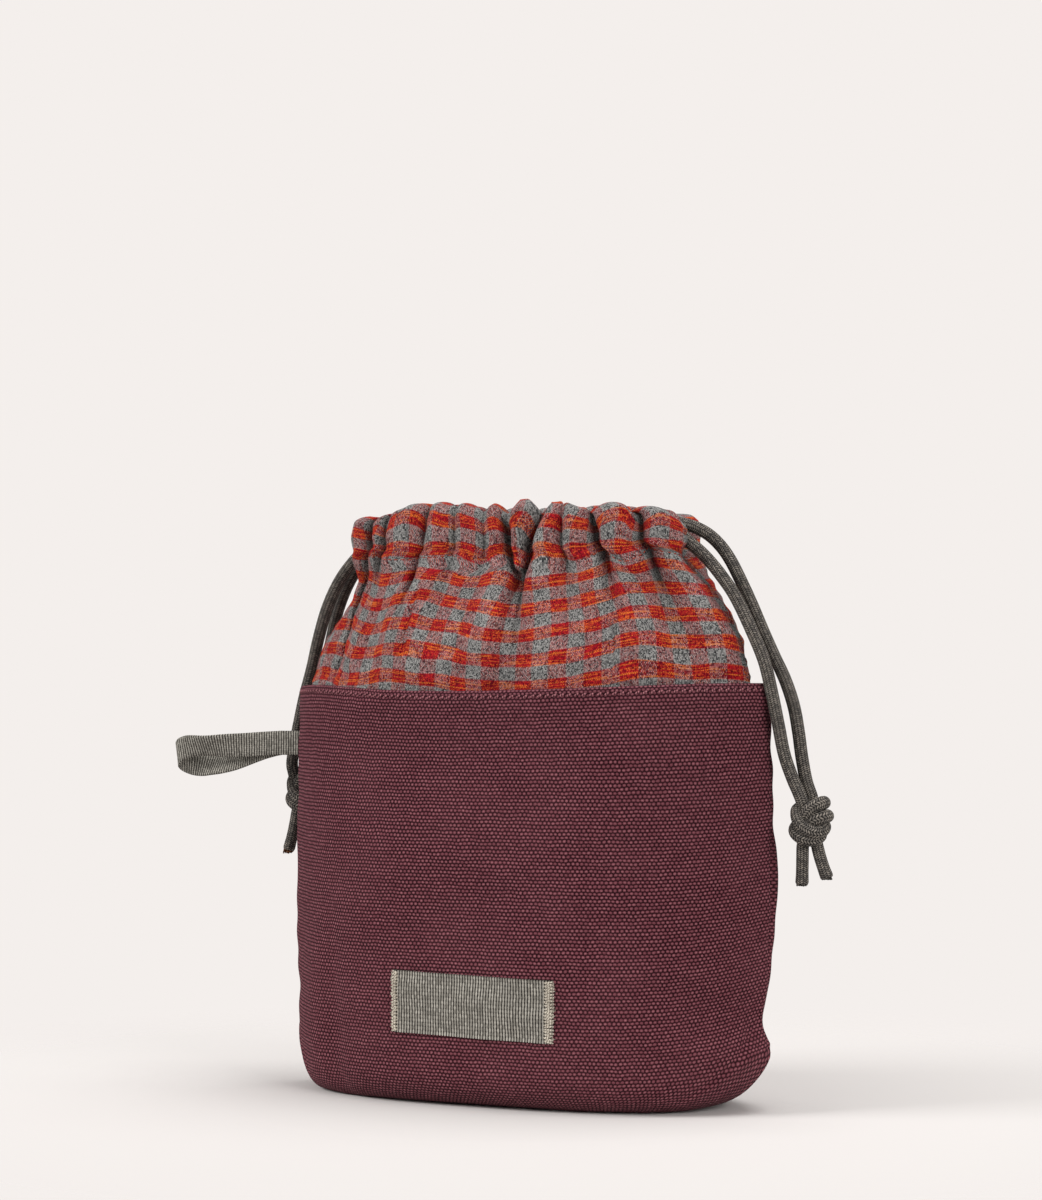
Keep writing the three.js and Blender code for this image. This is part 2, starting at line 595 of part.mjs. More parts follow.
function loopOutline(inset) {
  const half = LOOP_HALF_WIDTH - inset;
  const points = [];
  const start = inset === 0 ? 0 : LOOP_LENGTH * 0.24;
  const end = LOOP_LENGTH - inset;
  const sideSteps = 8;
  for (let k = 0; k <= sideSteps; k++) {
    const share = k / sideSteps;
    const along = start + (end - half - start) * share;
    const nose = inset === 0 ? noseRadius : 0.3;
    const width = nose + (half - nose) * (share < 1 ? 0.5 - 0.5 * Math.cos(Math.PI * share) : 1);
    points.push([along, width]);
  }
  for (let k = 1; k < 8; k++) {
    const angle = Math.PI / 2 - (Math.PI * k) / 8;
    points.push([end - half + half * Math.cos(angle), half * Math.sin(angle)]);
  }
  for (let k = sideSteps; k >= 0; k--) points.push([points[k][0], -points[k][1]]);
  if (inset === 0) {
    for (let k = 1; k < 6; k++) {
      const angle = -Math.PI / 2 - (Math.PI * k) / 6;
      points.push([noseRadius * Math.cos(angle), noseRadius * Math.sin(angle)]);
    }
  }
  return points.map((point) => new THREE.Vector2(point[0], point[1]));
}

const loopShape = new THREE.Shape(loopOutline(0));
loopShape.holes.push(new THREE.Path(loopOutline(LOOP_TAPE_THICKNESS).reverse()));
let loopGeometry = new THREE.ExtrudeGeometry(loopShape, { depth: LOOP_TAPE_WIDTH, steps: 1, bevelEnabled: false });
loopGeometry.deleteAttribute('normal');
loopGeometry.deleteAttribute('uv');
loopGeometry = mergeVertices(loopGeometry, 1e-4);
const loopPositions = loopGeometry.attributes.position;
for (let k = 0; k < loopPositions.count; k++) {
  const along = Math.max(0, loopPositions.getX(k));
  const droop = LOOP_DROOP * (along / LOOP_LENGTH) ** 1.5;
  loopPositions.setXYZ(k, -loopPositions.getX(k), -loopPositions.getY(k),
    loopPositions.getZ(k) - LOOP_TAPE_WIDTH / 2 - droop);
}
loopGeometry.computeVertexNormals();
const sideLoop = new THREE.Mesh(loopGeometry, WEBBING());
sideLoop.name = 'side_loop';
sideLoop.position.set(pivotX, 0, LOOP_HEIGHT);

// The bag, put together
const tubGroup = new THREE.Group();
tubGroup.add(canvasFront, canvasBack, lining, label, stitchLeft, stitchRight, tab);
const frontGroup = new THREE.Group();
frontGroup.add(collarFront, casingFront, channelCords[0], channelCords[2]);
const backGroup = new THREE.Group();
backGroup.add(collarBack, casingBack, channelCords[1], channelCords[3]);
const rightGroup = new THREE.Group();
rightGroup.add(rightFrontRun, rightBackRun, knots[0], knots[1], knots[2]);
const leftGroup = new THREE.Group();
leftGroup.add(leftFrontRun, leftBackRun, knots[3], knots[4], knots[5]);
const bag = new THREE.Group();
bag.add(tubGroup, frontGroup, backGroup, rightGroup, leftGroup, sideLoop);

export default bag;
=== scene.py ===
import logging
import math
from dataclasses import dataclass, field
from enum import Enum
from typing import Sequence

import bpy
import numpy as np
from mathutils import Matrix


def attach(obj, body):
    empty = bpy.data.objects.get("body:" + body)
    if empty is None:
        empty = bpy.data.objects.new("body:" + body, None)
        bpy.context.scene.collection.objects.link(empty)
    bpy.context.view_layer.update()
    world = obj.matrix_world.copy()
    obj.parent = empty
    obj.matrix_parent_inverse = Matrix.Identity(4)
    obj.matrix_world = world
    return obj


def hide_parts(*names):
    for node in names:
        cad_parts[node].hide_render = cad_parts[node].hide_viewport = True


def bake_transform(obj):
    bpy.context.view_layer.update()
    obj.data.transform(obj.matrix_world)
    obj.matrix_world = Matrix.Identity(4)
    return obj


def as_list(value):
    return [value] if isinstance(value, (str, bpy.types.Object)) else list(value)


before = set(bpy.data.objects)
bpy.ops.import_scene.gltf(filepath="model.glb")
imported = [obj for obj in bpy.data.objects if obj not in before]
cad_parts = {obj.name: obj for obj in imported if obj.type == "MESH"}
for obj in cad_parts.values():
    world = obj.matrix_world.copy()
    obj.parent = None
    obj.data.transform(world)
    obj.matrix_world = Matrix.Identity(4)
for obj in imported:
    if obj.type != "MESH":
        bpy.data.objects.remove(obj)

LOG = logging.getLogger("pantry_bag")
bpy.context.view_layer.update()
MM = 0.001

Array = np.ndarray
Socket = bpy.types.NodeSocket
Piece = bpy.types.Object
Colour = tuple[float, float, float, float]
# Vertices, faces, and one coordinate pair for each corner of each face, all in mm
Skin = tuple[Array, list, Array]


# Numbers and curves

def smooth(value: Array | float) -> Array | float:
    """Cubic step from 0 to 1: t * t * (3 - 2 * t), held outside that range."""
    t = np.clip(value, 0.0, 1.0)
    return t * t * (3.0 - 2.0 * t)


def hump(x: Array | float, centre: float, width: float) -> Array | float:
    """Bell of height 1 at centre, which falls to 1/e at width from it."""
    return np.exp(-(((x - centre) / width) ** 2))


def ripple(x: Array | float, y: Array | float, scale: float, seed: int, waves: int = 10) -> Array:
    """Soft irregular field made of crossed sine waves.

    Args:
        x, y: Positions in mm, which broadcast to one shape.
        scale: Typical distance in mm from one crest to the next.
        seed: Picks the waves, so one seed always gives one field.
        waves: How many sine waves are added.

    Returns:
        Values of about -1 to 1, in that shape.
    """
    rng = np.random.default_rng(seed)
    total = np.zeros(np.broadcast(x, y).shape)
    for _ in range(waves):
        angle = rng.uniform(0.0, math.pi)
        pitch = scale * rng.uniform(0.7, 1.6)
        phase = rng.uniform(0.0, 2.0 * math.pi)
        along = x * math.cos(angle) + y * math.sin(angle)
        total = total + np.sin(2.0 * math.pi * along / pitch + phase)
    return total / math.sqrt(waves)


def lengths_along(points: Array) -> Array:
    """Running length of a polyline, from 0 at its first point."""
    steps = np.linalg.norm(np.diff(points, axis=0), axis=1)
    return np.concatenate([[0.0], np.cumsum(steps)])


def points_at(line: Array, places: Array | float) -> Array:
    """Points of a polyline at the given lengths along it."""
    run = lengths_along(line)
    return np.stack([np.interp(places, run, axis) for axis in line.T], axis=-1)


def at_shares(line: Array, shares: Array) -> Array:
    """Points of a polyline at the given shares of its length."""
    return points_at(line, shares * lengths_along(line)[-1])


def held_above(values: Array, depth: float, sharpness: float) -> Array:
    """Values kept above -depth by a soft floor: log(1 + exp(k (v + depth))) / k - depth."""
    return np.log1p(np.exp((values + depth) * sharpness)) / sharpness - depth


def softened(values: Array, size: int) -> Array:
    """Running mean of values under a bell of an odd size, with the two end values held."""
    kernel = np.hanning(size)
    padded = np.pad(values, size // 2, mode="edge")
    return np.convolve(padded, kernel / kernel.sum(), mode="valid")


def outward(points: Array) -> Array:
    """Unit normals of a plan line: its tangent turned a quarter clockwise.

    Args:
        points: The line, from the left seam round the front to the right seam.

    Returns:
        One normal for each point; the first and last point straight away from the bag.
    """
    tangent = np.gradient(points, axis=0)
    tangent /= np.linalg.norm(tangent, axis=1, keepdims=True) + 1e-12
    normal = np.stack([tangent[:, 1], -tangent[:, 0]], axis=1)
    normal[0] = (-1.0, 0.0)
    normal[-1] = (1.0, 0.0)
    return normal


def smooth_curve(points: Sequence[Sequence[float]], count: int) -> Array:
    """Centripetal Catmull-Rom curve through points, cut into equal lengths.

    Args:
        points: The points that the curve passes, in mm.
        count: How many points come back.

    Returns:
        An array of count points, evenly spaced along the curve.
    """
    p = np.asarray(points, float)
    p = np.vstack([2.0 * p[0] - p[1], p, 2.0 * p[-1] - p[-2]])
    fine: list[Array] = []
    for k in range(1, len(p) - 2):
        a, b, c, d = p[k - 1], p[k], p[k + 1], p[k + 2]
        step = [max(np.linalg.norm(q - r) ** 0.5, 1e-4) for q, r in ((b, a), (c, b), (d, c))]
        start = ((b - a) / step[0] - (c - a) / (step[0] + step[1]) + (c - b) / step[1]) * step[1]
        end = ((c - b) / step[1] - (d - b) / (step[1] + step[2]) + (d - c) / step[2]) * step[1]
        t = np.linspace(0.0, 1.0, 24, endpoint=False)[:, None]
        square, cube = t * t, t * t * t
        fine.append((2 * cube - 3 * square + 1) * b + (cube - 2 * square + t) * start
                    + (-2 * cube + 3 * square) * c + (cube - square) * end)
    fine.append(p[-2][None, :])
    return at_shares(np.vstack(fine), np.linspace(0.0, 1.0, count))


# Meshes

def new_piece(name: str, skin: tuple, material: bpy.types.Material) -> Piece:
    """Makes a smooth-shaded mesh object.

    Args:
        name: The piece's name.
        skin: Its vertices, faces that face out, and coordinates or None, in mm and in the bag's frame.
        material: Its finish.

    Returns:
        The new object, linked to the scene.
    """
    vertices, faces, uv = skin
    mesh = bpy.data.meshes.new(name)
    mesh.from_pydata((np.asarray(vertices) * MM).tolist(), [], [list(map(int, face)) for face in faces])
    mesh.materials.append(material)
    mesh.polygons.foreach_set("use_smooth", [True] * len(mesh.polygons))
    if uv is not None:
        layer = mesh.uv_layers.new(name="cloth")
        layer.data.foreach_set("uv", np.asarray(uv, np.float32).ravel())
    mesh.update()
    piece = bpy.data.objects.new(name, mesh)
    bpy.context.scene.collection.objects.link(piece)
    return piece


def grid_faces(rows: int, columns: int, around: bool = False) -> Array:
    """Corner indices of a grid's quads. Columns wrap round where around is set."""
    r, c = np.meshgrid(np.arange(rows - 1), np.arange(columns if around else columns - 1), indexing="ij")
    after = (c + 1) % columns
    quads = [r * columns + c, r * columns + after, (r + 1) * columns + after, (r + 1) * columns + c]
    return np.stack(quads, axis=-1).reshape(-1, 4)


def grid_piece(name: str, points: Array, uv: Array, material: bpy.types.Material) -> Piece:
    """An open sheet from points[row, column], with uv[row, column] in mm of flat cloth."""
    faces = grid_faces(*points.shape[:2])
    return new_piece(name, (points.reshape(-1, 3), faces, uv.reshape(-1, 2)[faces.ravel()]), material)


def unrolled(points: Array, faces: Array, level: int, way: float = 1.0) -> Array:
    """Flat-cloth coordinates of a closed wall: mm round one of its rings, and mm up the front's middle.

    Args:
        points: The wall's points by ring and column.
        faces: Corner indices of its quads.
        level: The ring that the width is measured along.
        way: 1 where the rings run upwards and -1 where they run down.

    Returns:
        One pair for each corner of each face, by face and corner.
    """
    columns = points.shape[1]
    run = lengths_along(points[level])
    climb = way * lengths_along(points[:, columns // 4])
    pair = np.stack([run[faces % columns], climb[faces // columns]], axis=-1)
    wraps = (faces[:, 1] % columns) < (faces[:, 0] % columns)
    pair[wraps, 1:3, 0] += run[-1] + np.linalg.norm(points[level, 0] - points[level, -1])
    return pair


def thicken(piece: Piece) -> None:
    """Gives an open sheet the gingham's thickness, half of it on either side."""
    solid = piece.modifiers.new("cloth thickness", "SOLIDIFY")
    solid.thickness = 0.5 * MM
    solid.offset = 0.0


def end_caps(rings: int, sides: int) -> list[list[int]]:
    """The two faces that close a tube of this many rings, facing out."""
    last = (rings - 1) * sides
    return [list(range(sides))[::-1], list(range(last, last + sides))]


def sweep(centres: Array, radii: Array | float, sides: int, uv_offset: float = 0.0) -> Skin:
    """Round tube along a line, closed at both ends.

    A ring point = centre + radius * (cos(a) * first + sin(a) * second), where first is carried along
    the line without twist and second stands square to it and to the tangent.

    Args:
        centres: The tube's centre line in mm.
        radii: Its radius, at each centre or everywhere.
        sides: Corners round the tube.
        uv_offset: Added to the length coordinate, so that joined runs keep one braid.

    Returns:
        The tube's skin, with the share of a turn and the mm along it as coordinates.
    """
    count = len(centres)
    tangent = np.gradient(centres, axis=0)
    tangent /= np.linalg.norm(tangent, axis=1, keepdims=True)
    normal = np.cross(tangent[0], (0.0, 1.0, 0.2))
    normal /= np.linalg.norm(normal)
    frames = [normal]
    for k in range(1, count):
        normal = normal - tangent[k] * np.dot(normal, tangent[k])
        normal /= np.linalg.norm(normal)
        frames.append(normal)
    first = np.asarray(frames)
    second = np.cross(tangent, first)
    angle = 2.0 * math.pi * np.arange(sides) / sides
    cosine, sine = np.cos(angle)[None, :, None], np.sin(angle)[None, :, None]
    ring = cosine * first[:, None, :] + sine * second[:, None, :]
    vertices = centres[:, None, :] + np.broadcast_to(radii, count)[:, None, None] * ring
    faces = grid_faces(count, sides, around=True)
    run = lengths_along(centres) + uv_offset
    u = (faces % sides) / sides
    u[:, 1:3] = np.where(u[:, 1:3] < u[:, [0]] - 1e-6, u[:, 1:3] + 1.0, u[:, 1:3])
    pairs = np.stack([u, run[faces // sides]], axis=-1).reshape(-1, 2)
    cap_uv = [(0.5, run[0])] * sides + [(0.5, run[-1])] * sides
    return vertices.reshape(-1, 3), faces.tolist() + end_caps(count, sides), np.vstack([pairs, cap_uv])


def joined(parts: Sequence[Skin]) -> Skin:
    """Several skins as one, with the corner indices of each moved past those before it.

    Args:
        parts: The skins.

    Returns:
        One skin.
    """
    faces: list = []
    base = 0
    for points, polygons, _ in parts:
        faces.extend([[corner + base for corner in face] for face in polygons])
        base += len(points)
    return np.vstack([part[0] for part in parts]), faces, np.vstack([part[2] for part in parts])


def thread_stitch(start: Array, end: Array, normal: Array, radius: float, rise: float) -> Skin:
    """One stitch: a short thread that rises out of the cloth at start and dives in again at end.

    Its height over the cloth is rise * sin(pi t)^0.6 - 0.9 * radius, t the share of its length.

    Args:
        start, end: Where it goes through the cloth, in mm.
        normal: Unit vector out of the cloth.
        radius: The thread's radius.
        rise: How far its middle rises.

    Returns:
        The thread's skin.
    """
    t = np.linspace(0.0, 1.0, 7)
    lift = rise * np.sin(math.pi * t) ** 0.6 - radius * 0.9
    centres = start + t[:, None] * (end - start) + lift[:, None] * normal
    return sweep(centres, radius * (0.55 + 0.45 * np.sin(math.pi * t) ** 0.5), 6)


# Shader nodes

def srgb(*channels: float) -> Colour:
    """Linear colour for an sRGB colour given as red, green and blue from 0 to 255."""
    share = np.array(channels) / 255.0
    linear = np.where(share <= 0.04045, share / 12.92, ((share + 0.055) / 1.055) ** 2.4)
    return (*linear.tolist(), 1.0)


class Shared(Enum):
    """Node groups that more than one finish uses."""

    WEAVE = "plain_weave"
    HEATHER = "heathered_yarn"
    RIBS = "ribbed_tape"
    BRAID = "cord_braid"


class Graph:
    """A node tree that is built with calls that give back sockets."""

    def __init__(self, tree: bpy.types.NodeTree) -> None:
        """Keeps the tree that the calls add to."""
        self.tree = tree

    @classmethod
    def of(cls, owner: bpy.types.ID) -> "Graph":
        """The emptied node tree of a new material or world."""
        owner.use_nodes = True
        owner.node_tree.nodes.clear()
        return cls(owner.node_tree)

    def node(self, kind: str, **settings: object) -> bpy.types.Node:
        """Adds a node and sets its properties."""
        made = self.tree.nodes.new(kind)
        for key, value in settings.items():
            setattr(made, key, value)
        return made

    def put(self, target: Socket, value: object) -> None:
        """Links value to target where it is a socket, and otherwise sets it."""
        if isinstance(value, bpy.types.NodeSocket):
            self.tree.links.new(value, target)
        else:
            target.default_value = value

    def fill(self, made: bpy.types.Node, *values: object) -> bpy.types.Node:
        """Puts values into a node's inputs, in their order."""
        for target, value in zip(made.inputs, values):
            self.put(target, value)
        return made

    def math(self, operation: str, *values: object) -> Socket:
        """One Math node."""
        return self.fill(self.node("ShaderNodeMath", operation=operation), *values).outputs[0]

    def plus(self, first: object, second: object) -> Socket:
        """Sum of two values."""
        return self.math("ADD", first, second)

    def minus(self, first: object, second: object) -> Socket:
        """The first value less the second."""
        return self.math("SUBTRACT", first, second)

    def times(self, first: object, second: object) -> Socket:
        """Product of two values."""
        return self.math("MULTIPLY", first, second)

    def over(self, first: object, second: object) -> Socket:
        """The first value divided by the second."""
        return self.math("DIVIDE", first, second)

    def arch(self, place: Socket) -> Socket:
        """A row of arches, one for each whole number: |sin(pi * place)|."""
        return self.math("ABSOLUTE", self.math("SINE", self.times(place, math.pi)))

    def odd(self, number: Socket) -> Socket:
        """1 where a whole number is odd and 0 where it is even."""
        return self.math("MODULO", self.math("ABSOLUTE", number), 2.0)

    def vector(self, operation: str, *values: object) -> bpy.types.Node:
        """One Vector Math node."""
        return self.fill(self.node("ShaderNodeVectorMath", operation=operation), *values)

    def split(self, value: Socket) -> tuple[Socket, Socket, Socket]:
        """The three parts of a vector."""
        return tuple(self.fill(self.node("ShaderNodeSeparateXYZ"), value).outputs)

    def join(self, x: object, y: object, z: object = 0.0) -> Socket:
        """A vector of three parts."""
        return self.fill(self.node("ShaderNodeCombineXYZ"), x, y, z).outputs[0]

    def noise(self, where: Socket, scale: float, detail: float = 2.0, roughness: float = 0.5) -> Socket:
        """Perlin noise of 0 to 1."""
        made = self.fill(self.node("ShaderNodeTexNoise", noise_dimensions="3D"), where)
        made.inputs["Scale"].default_value = scale
        made.inputs["Detail"].default_value = detail
        made.inputs["Roughness"].default_value = roughness
        return made.outputs["Fac"]

    def random(self, where: Socket) -> Socket:
        """White noise of 0 to 1 for each whole-number vector."""
        return self.fill(self.node("ShaderNodeTexWhiteNoise", noise_dimensions="3D"), where).outputs["Value"]

    def fit(self, value: Socket, low: float, high: float, to_low: float = 0.0,
            to_high: float = 1.0) -> Socket:
        """Value carried from the range low..high to to_low..to_high, and held at its ends."""
        made = self.node("ShaderNodeMapRange", clamp=True)
        return self.fill(made, value, low, high, to_low, to_high).outputs[0]

    def mix(self, share: object, first: object, second: object, blend: str = "MIX") -> Socket:
        """A colour mixed from two."""
        made = self.node("ShaderNodeMix", data_type="RGBA", blend_type=blend, clamp_factor=True)
        self.put(made.inputs[0], share)
        self.put(made.inputs[6], first)
        self.put(made.inputs[7], second)
        return made.outputs[2]

    def group(self, kind: Shared, **inputs: object) -> bpy.types.Node:
        """Uses a shared node group."""
        made = self.node("ShaderNodeGroup")
        made.node_tree = bpy.data.node_groups[kind.value]
        for key, value in inputs.items():
            self.put(made.inputs[key], value)
        return made


def start_group(kind: Shared, inputs: dict[str, float | None],
                outputs: Sequence[str]) -> tuple[Graph, dict[str, Socket]]:
    """Starts a shared node group with named sockets.

    Args:
        kind: Which group.
        inputs: Default of each number input by name, and None for a vector.
        outputs: Names of the outputs, all numbers.

    Returns:
        The group's graph, and its input sockets by name.
    """
    tree = bpy.data.node_groups.new(kind.value, "ShaderNodeTree")
    for label, default in inputs.items():
        socket_type = "NodeSocketVector" if default is None else "NodeSocketFloat"
        made = tree.interface.new_socket(name=label, in_out="INPUT", socket_type=socket_type)
        if default is not None:
            made.default_value = default
    for label in outputs:
        tree.interface.new_socket(name=label, in_out="OUTPUT", socket_type="NodeSocketFloat")
    graph = Graph(tree)
    entry = graph.node("NodeGroupInput")
    return graph, {socket.name: socket for socket in entry.outputs}


def end_group(graph: Graph, **outputs: Socket) -> None:
    """Sends the named results to the group's outputs."""
    leave = graph.node("NodeGroupOutput")
    for label, value in outputs.items():
        graph.put(leave.inputs[label], value)


def make_weave_group() -> None:
    """Plain weave seen as rows of oval thread crowns, each row shifted by half a crown.

    Height of a crown = sqrt(1 - |x / a|^2.2 - |y / b|^2), with x and y taken from its middle. Over is 1
    where the weft lies on top and 0 where the warp does, and Dome is the height of either yarn.
    """
    g, at = start_group(Shared.WEAVE, {
        "Cloth": None, "Crown Width": 1.7, "Crown Height": 1.4, "Unevenness": 0.25,
    }, ("Height", "Crown", "Over", "Dome"))
    wander = g.noise(at["Cloth"], 0.16, 3.0)
    drift = g.times(g.minus(wander, 0.5), at["Unevenness"])
    u, v, _ = g.split(at["Cloth"])
    row_place = g.plus(g.over(v, at["Crown Height"]), g.times(drift, 1.6))
    row = g.math("FLOOR", row_place)
    shift = g.times(g.odd(row), 0.5)
    column_place = g.plus(g.plus(g.over(u, at["Crown Width"]), shift), drift)
    cell = g.math("FLOOR", g.plus(g.times(column_place, 2.0), 0.5))
    crown = g.random(g.join(cell, row))
    x = g.minus(g.math("FRACT", column_place), 0.5)
    y = g.minus(g.math("FRACT", row_place), 0.5)
    spread = g.plus(0.5, g.times(g.minus(crown, 0.5), 0.12))
    x_part = g.math("POWER", g.math("ABSOLUTE", g.over(x, spread)), 2.2)
    y_part = g.math("POWER", g.math("ABSOLUTE", g.over(y, 0.5)), 2.0)
    height = g.math("SQRT", g.math("MAXIMUM", g.minus(1.0, g.plus(x_part, y_part)), 0.0))
    beside = g.math("ABSOLUTE", x)
    over = g.math("LESS_THAN", beside, 0.25)
    near = g.math("MINIMUM", beside, g.minus(0.5, beside))
    fall = g.plus(g.math("POWER", g.times(near, 4.0), 2.0), y_part)
    dome = g.minus(1.0, g.times(fall, 0.5))
    end_group(g, Height=height, Crown=crown, Over=over, Dome=dome)


def make_heather_group() -> None:
    """Flecks of yarn that run along one way of the cloth: noise squeezed across it."""
    g, at = start_group(Shared.HEATHER, {"Cloth": None, "Along U": 0.35, "Along V": 2.4}, ("Fleck",))
    u, v, _ = g.split(at["Cloth"])
    squeezed = g.join(g.times(u, at["Along U"]), g.times(v, at["Along V"]))
    end_group(g, Fleck=g.fit(g.noise(squeezed, 1.0, 3.0, 0.65), 0.3, 0.7))


def make_rib_group() -> None:
    """Tape with ribs across it, crossed by fine lengthwise yarns.

    Height = 0.82 |sin(pi u / rib)|^0.9 + 0.18 |sin(pi v / warp)|, u along the tape and v across it.
    """
    g, at = start_group(Shared.RIBS, {"Cloth": None, "Rib": 1.15, "Warp": 0.8}, ("Height", "Thread"))
    u, v, _ = g.split(at["Cloth"])
    wobble = g.times(g.minus(g.noise(at["Cloth"], 0.5, 2.0), 0.5), 0.35)
    rib_place = g.plus(g.over(u, at["Rib"]), wobble)
    warp_place = g.over(v, at["Warp"])
    rib = g.math("POWER", g.arch(rib_place), 0.9)
    height = g.plus(g.times(rib, 0.82), g.times(g.arch(warp_place), 0.18))
    thread = g.random(g.join(g.math("FLOOR", rib_place), g.math("FLOOR", warp_place)))
    end_group(g, Height=height, Thread=thread)


def make_braid_group() -> None:
    """Knitted sheath: lengthwise columns of short stitches, slanted one way and then the other.

    Column place = n u and stitch place = v / p +- 0.9 (fract(n u) - 1/2), u in turns and v in mm, with
    the sign changing from column to column. Height = |sin(pi column)|^0.25 |sin(pi stitch)|^0.7.
    """
    g, at = start_group(Shared.BRAID, {"Cord": None, "Columns": 12.0, "Pitch": 0.8},
                        ("Height", "Stitch"))
    u, v, _ = g.split(at["Cord"])
    column_place = g.times(u, at["Columns"])
    column = g.math("FLOOR", column_place)
    turned = g.minus(g.times(g.odd(column), 2.0), 1.0)
    slant = g.times(g.minus(g.math("FRACT", column_place), 0.5), turned)
    stitch_place = g.plus(g.over(v, at["Pitch"]), g.times(slant, 0.9))
    sides, ends = g.arch(column_place), g.arch(stitch_place)
    height = g.times(g.math("POWER", sides, 0.25), g.math("POWER", ends, 0.7))
    stitch = g.random(g.join(column, g.math("FLOOR", stitch_place)))
    end_group(g, Height=height, Stitch=stitch)


@dataclass(frozen=True)
class Finish:
    """A surface finish. Each kind paints its own colour and relief.

    Attributes:
        slot: The material slot of the pieces that wear it; not used.
        strength, distance: How strongly its relief shows, and the metres that a height of 1 stands for.
    """

    name: str
    slot: str
    roughness: float = 0.9
    specular: float = 0.08
    sheen: float = 0.02
    strength: float = 0.8
    distance: float = 0.0003

    def paint(self, g: Graph) -> tuple[Socket, Socket]:
        """Adds the finish's nodes and gives back its colour and height sockets."""
        raise NotImplementedError

    def build(self) -> bpy.types.Material:
        """Makes the material."""
        material = bpy.data.materials.new(self.name)
        g = Graph.of(material)
        shader = g.node("ShaderNodeBsdfPrincipled")
        shader.inputs["Roughness"].default_value = self.roughness
        shader.inputs["Specular IOR Level"].default_value = self.specular
        shader.inputs["Sheen Weight"].default_value = self.sheen
        shader.inputs["Sheen Roughness"].default_value = 0.6
        colour, height = self.paint(g)
        g.put(shader.inputs["Base Color"], colour)
        bump = g.node("ShaderNodeBump")
        bump.inputs["Strength"].default_value = self.strength
        bump.inputs["Distance"].default_value = self.distance
        g.put(bump.inputs["Height"], height)
        g.put(shader.inputs["Normal"], bump.outputs[0])
        g.fill(g.node("ShaderNodeOutputMaterial"), shader.outputs[0])
        return material

    @staticmethod
    def cloth(g: Graph) -> Socket:
        """The piece's flat-cloth coordinates, in mm."""
        return g.node("ShaderNodeUVMap", uv_map="cloth").outputs[0]

    @staticmethod
    def place(g: Graph) -> Socket:
        """Object coordinates, in mm."""
        coordinates = g.node("ShaderNodeTexCoord")
        return g.vector("MULTIPLY", coordinates.outputs["Object"], (1000.0, 1000.0, 1000.0)).outputs[0]


@dataclass(frozen=True)
class CanvasFinish(Finish):
    """Heavy matte canvas of thick, slightly uneven yarn, with the colours of a crown from low to high:
    painted shade in the gaps, the canvas's red, and a painted highlight on the crests.
    """

    strength: float = 1.0
    distance: float = 0.00042
    crown_width: float = 1.7
    crown_height: float = 1.4
    # Painted shade in the gaps between crowns; the flecks of deep yarn take this colour too.
    gap: Colour = srgb(34, 5, 13)
    middle: Colour = srgb(99, 48, 57)
    # Painted highlight on the tops of the crowns; the faint mottling lightens towards it too.
    crest: Colour = srgb(170, 112, 119)

    def paint(self, g: Graph) -> tuple[Socket, Socket]:
        """Painted shade in the gaps, mid-red sides and a painted highlight on the crests of the crowns, with
        flecks of yarn as deep as the gaps.
        """
        cloth = self.cloth(g)
        weave = g.group(Shared.WEAVE, **{
            "Cloth": cloth, "Crown Width": self.crown_width, "Crown Height": self.crown_height,
            "Unevenness": 0.5})
        heather = g.group(Shared.HEATHER, **{"Cloth": cloth, "Along U": 0.5, "Along V": 1.2})
        height, fleck = weave.outputs["Height"], heather.outputs["Fleck"]
        # Painted shade: the gaps between the crowns darken towards the gap colour.
        colour = g.mix(g.fit(height, 0.1, 0.75), self.gap, self.middle)
        yarn = g.fit(weave.outputs["Crown"], 0.0, 1.0, 0.35, 1.0)
        # Painted highlight on the top of every crown, stronger on some crowns by chance.
        painted_highlight = g.times(g.fit(height, 0.74, 1.0, 0.0, 0.72), yarn)
        colour = g.mix(painted_highlight, colour, self.crest)
        colour = g.mix(g.fit(fleck, 0.0, 1.0, 0.26, 0.0), colour, self.gap)
        dust = g.noise(self.place(g), 0.03, 4.0, 0.6)
        colour = g.mix(g.fit(dust, 0.4, 0.8, 0.0, 0.05), colour, self.crest)
        return colour, g.plus(height, g.times(fleck, 0.15))


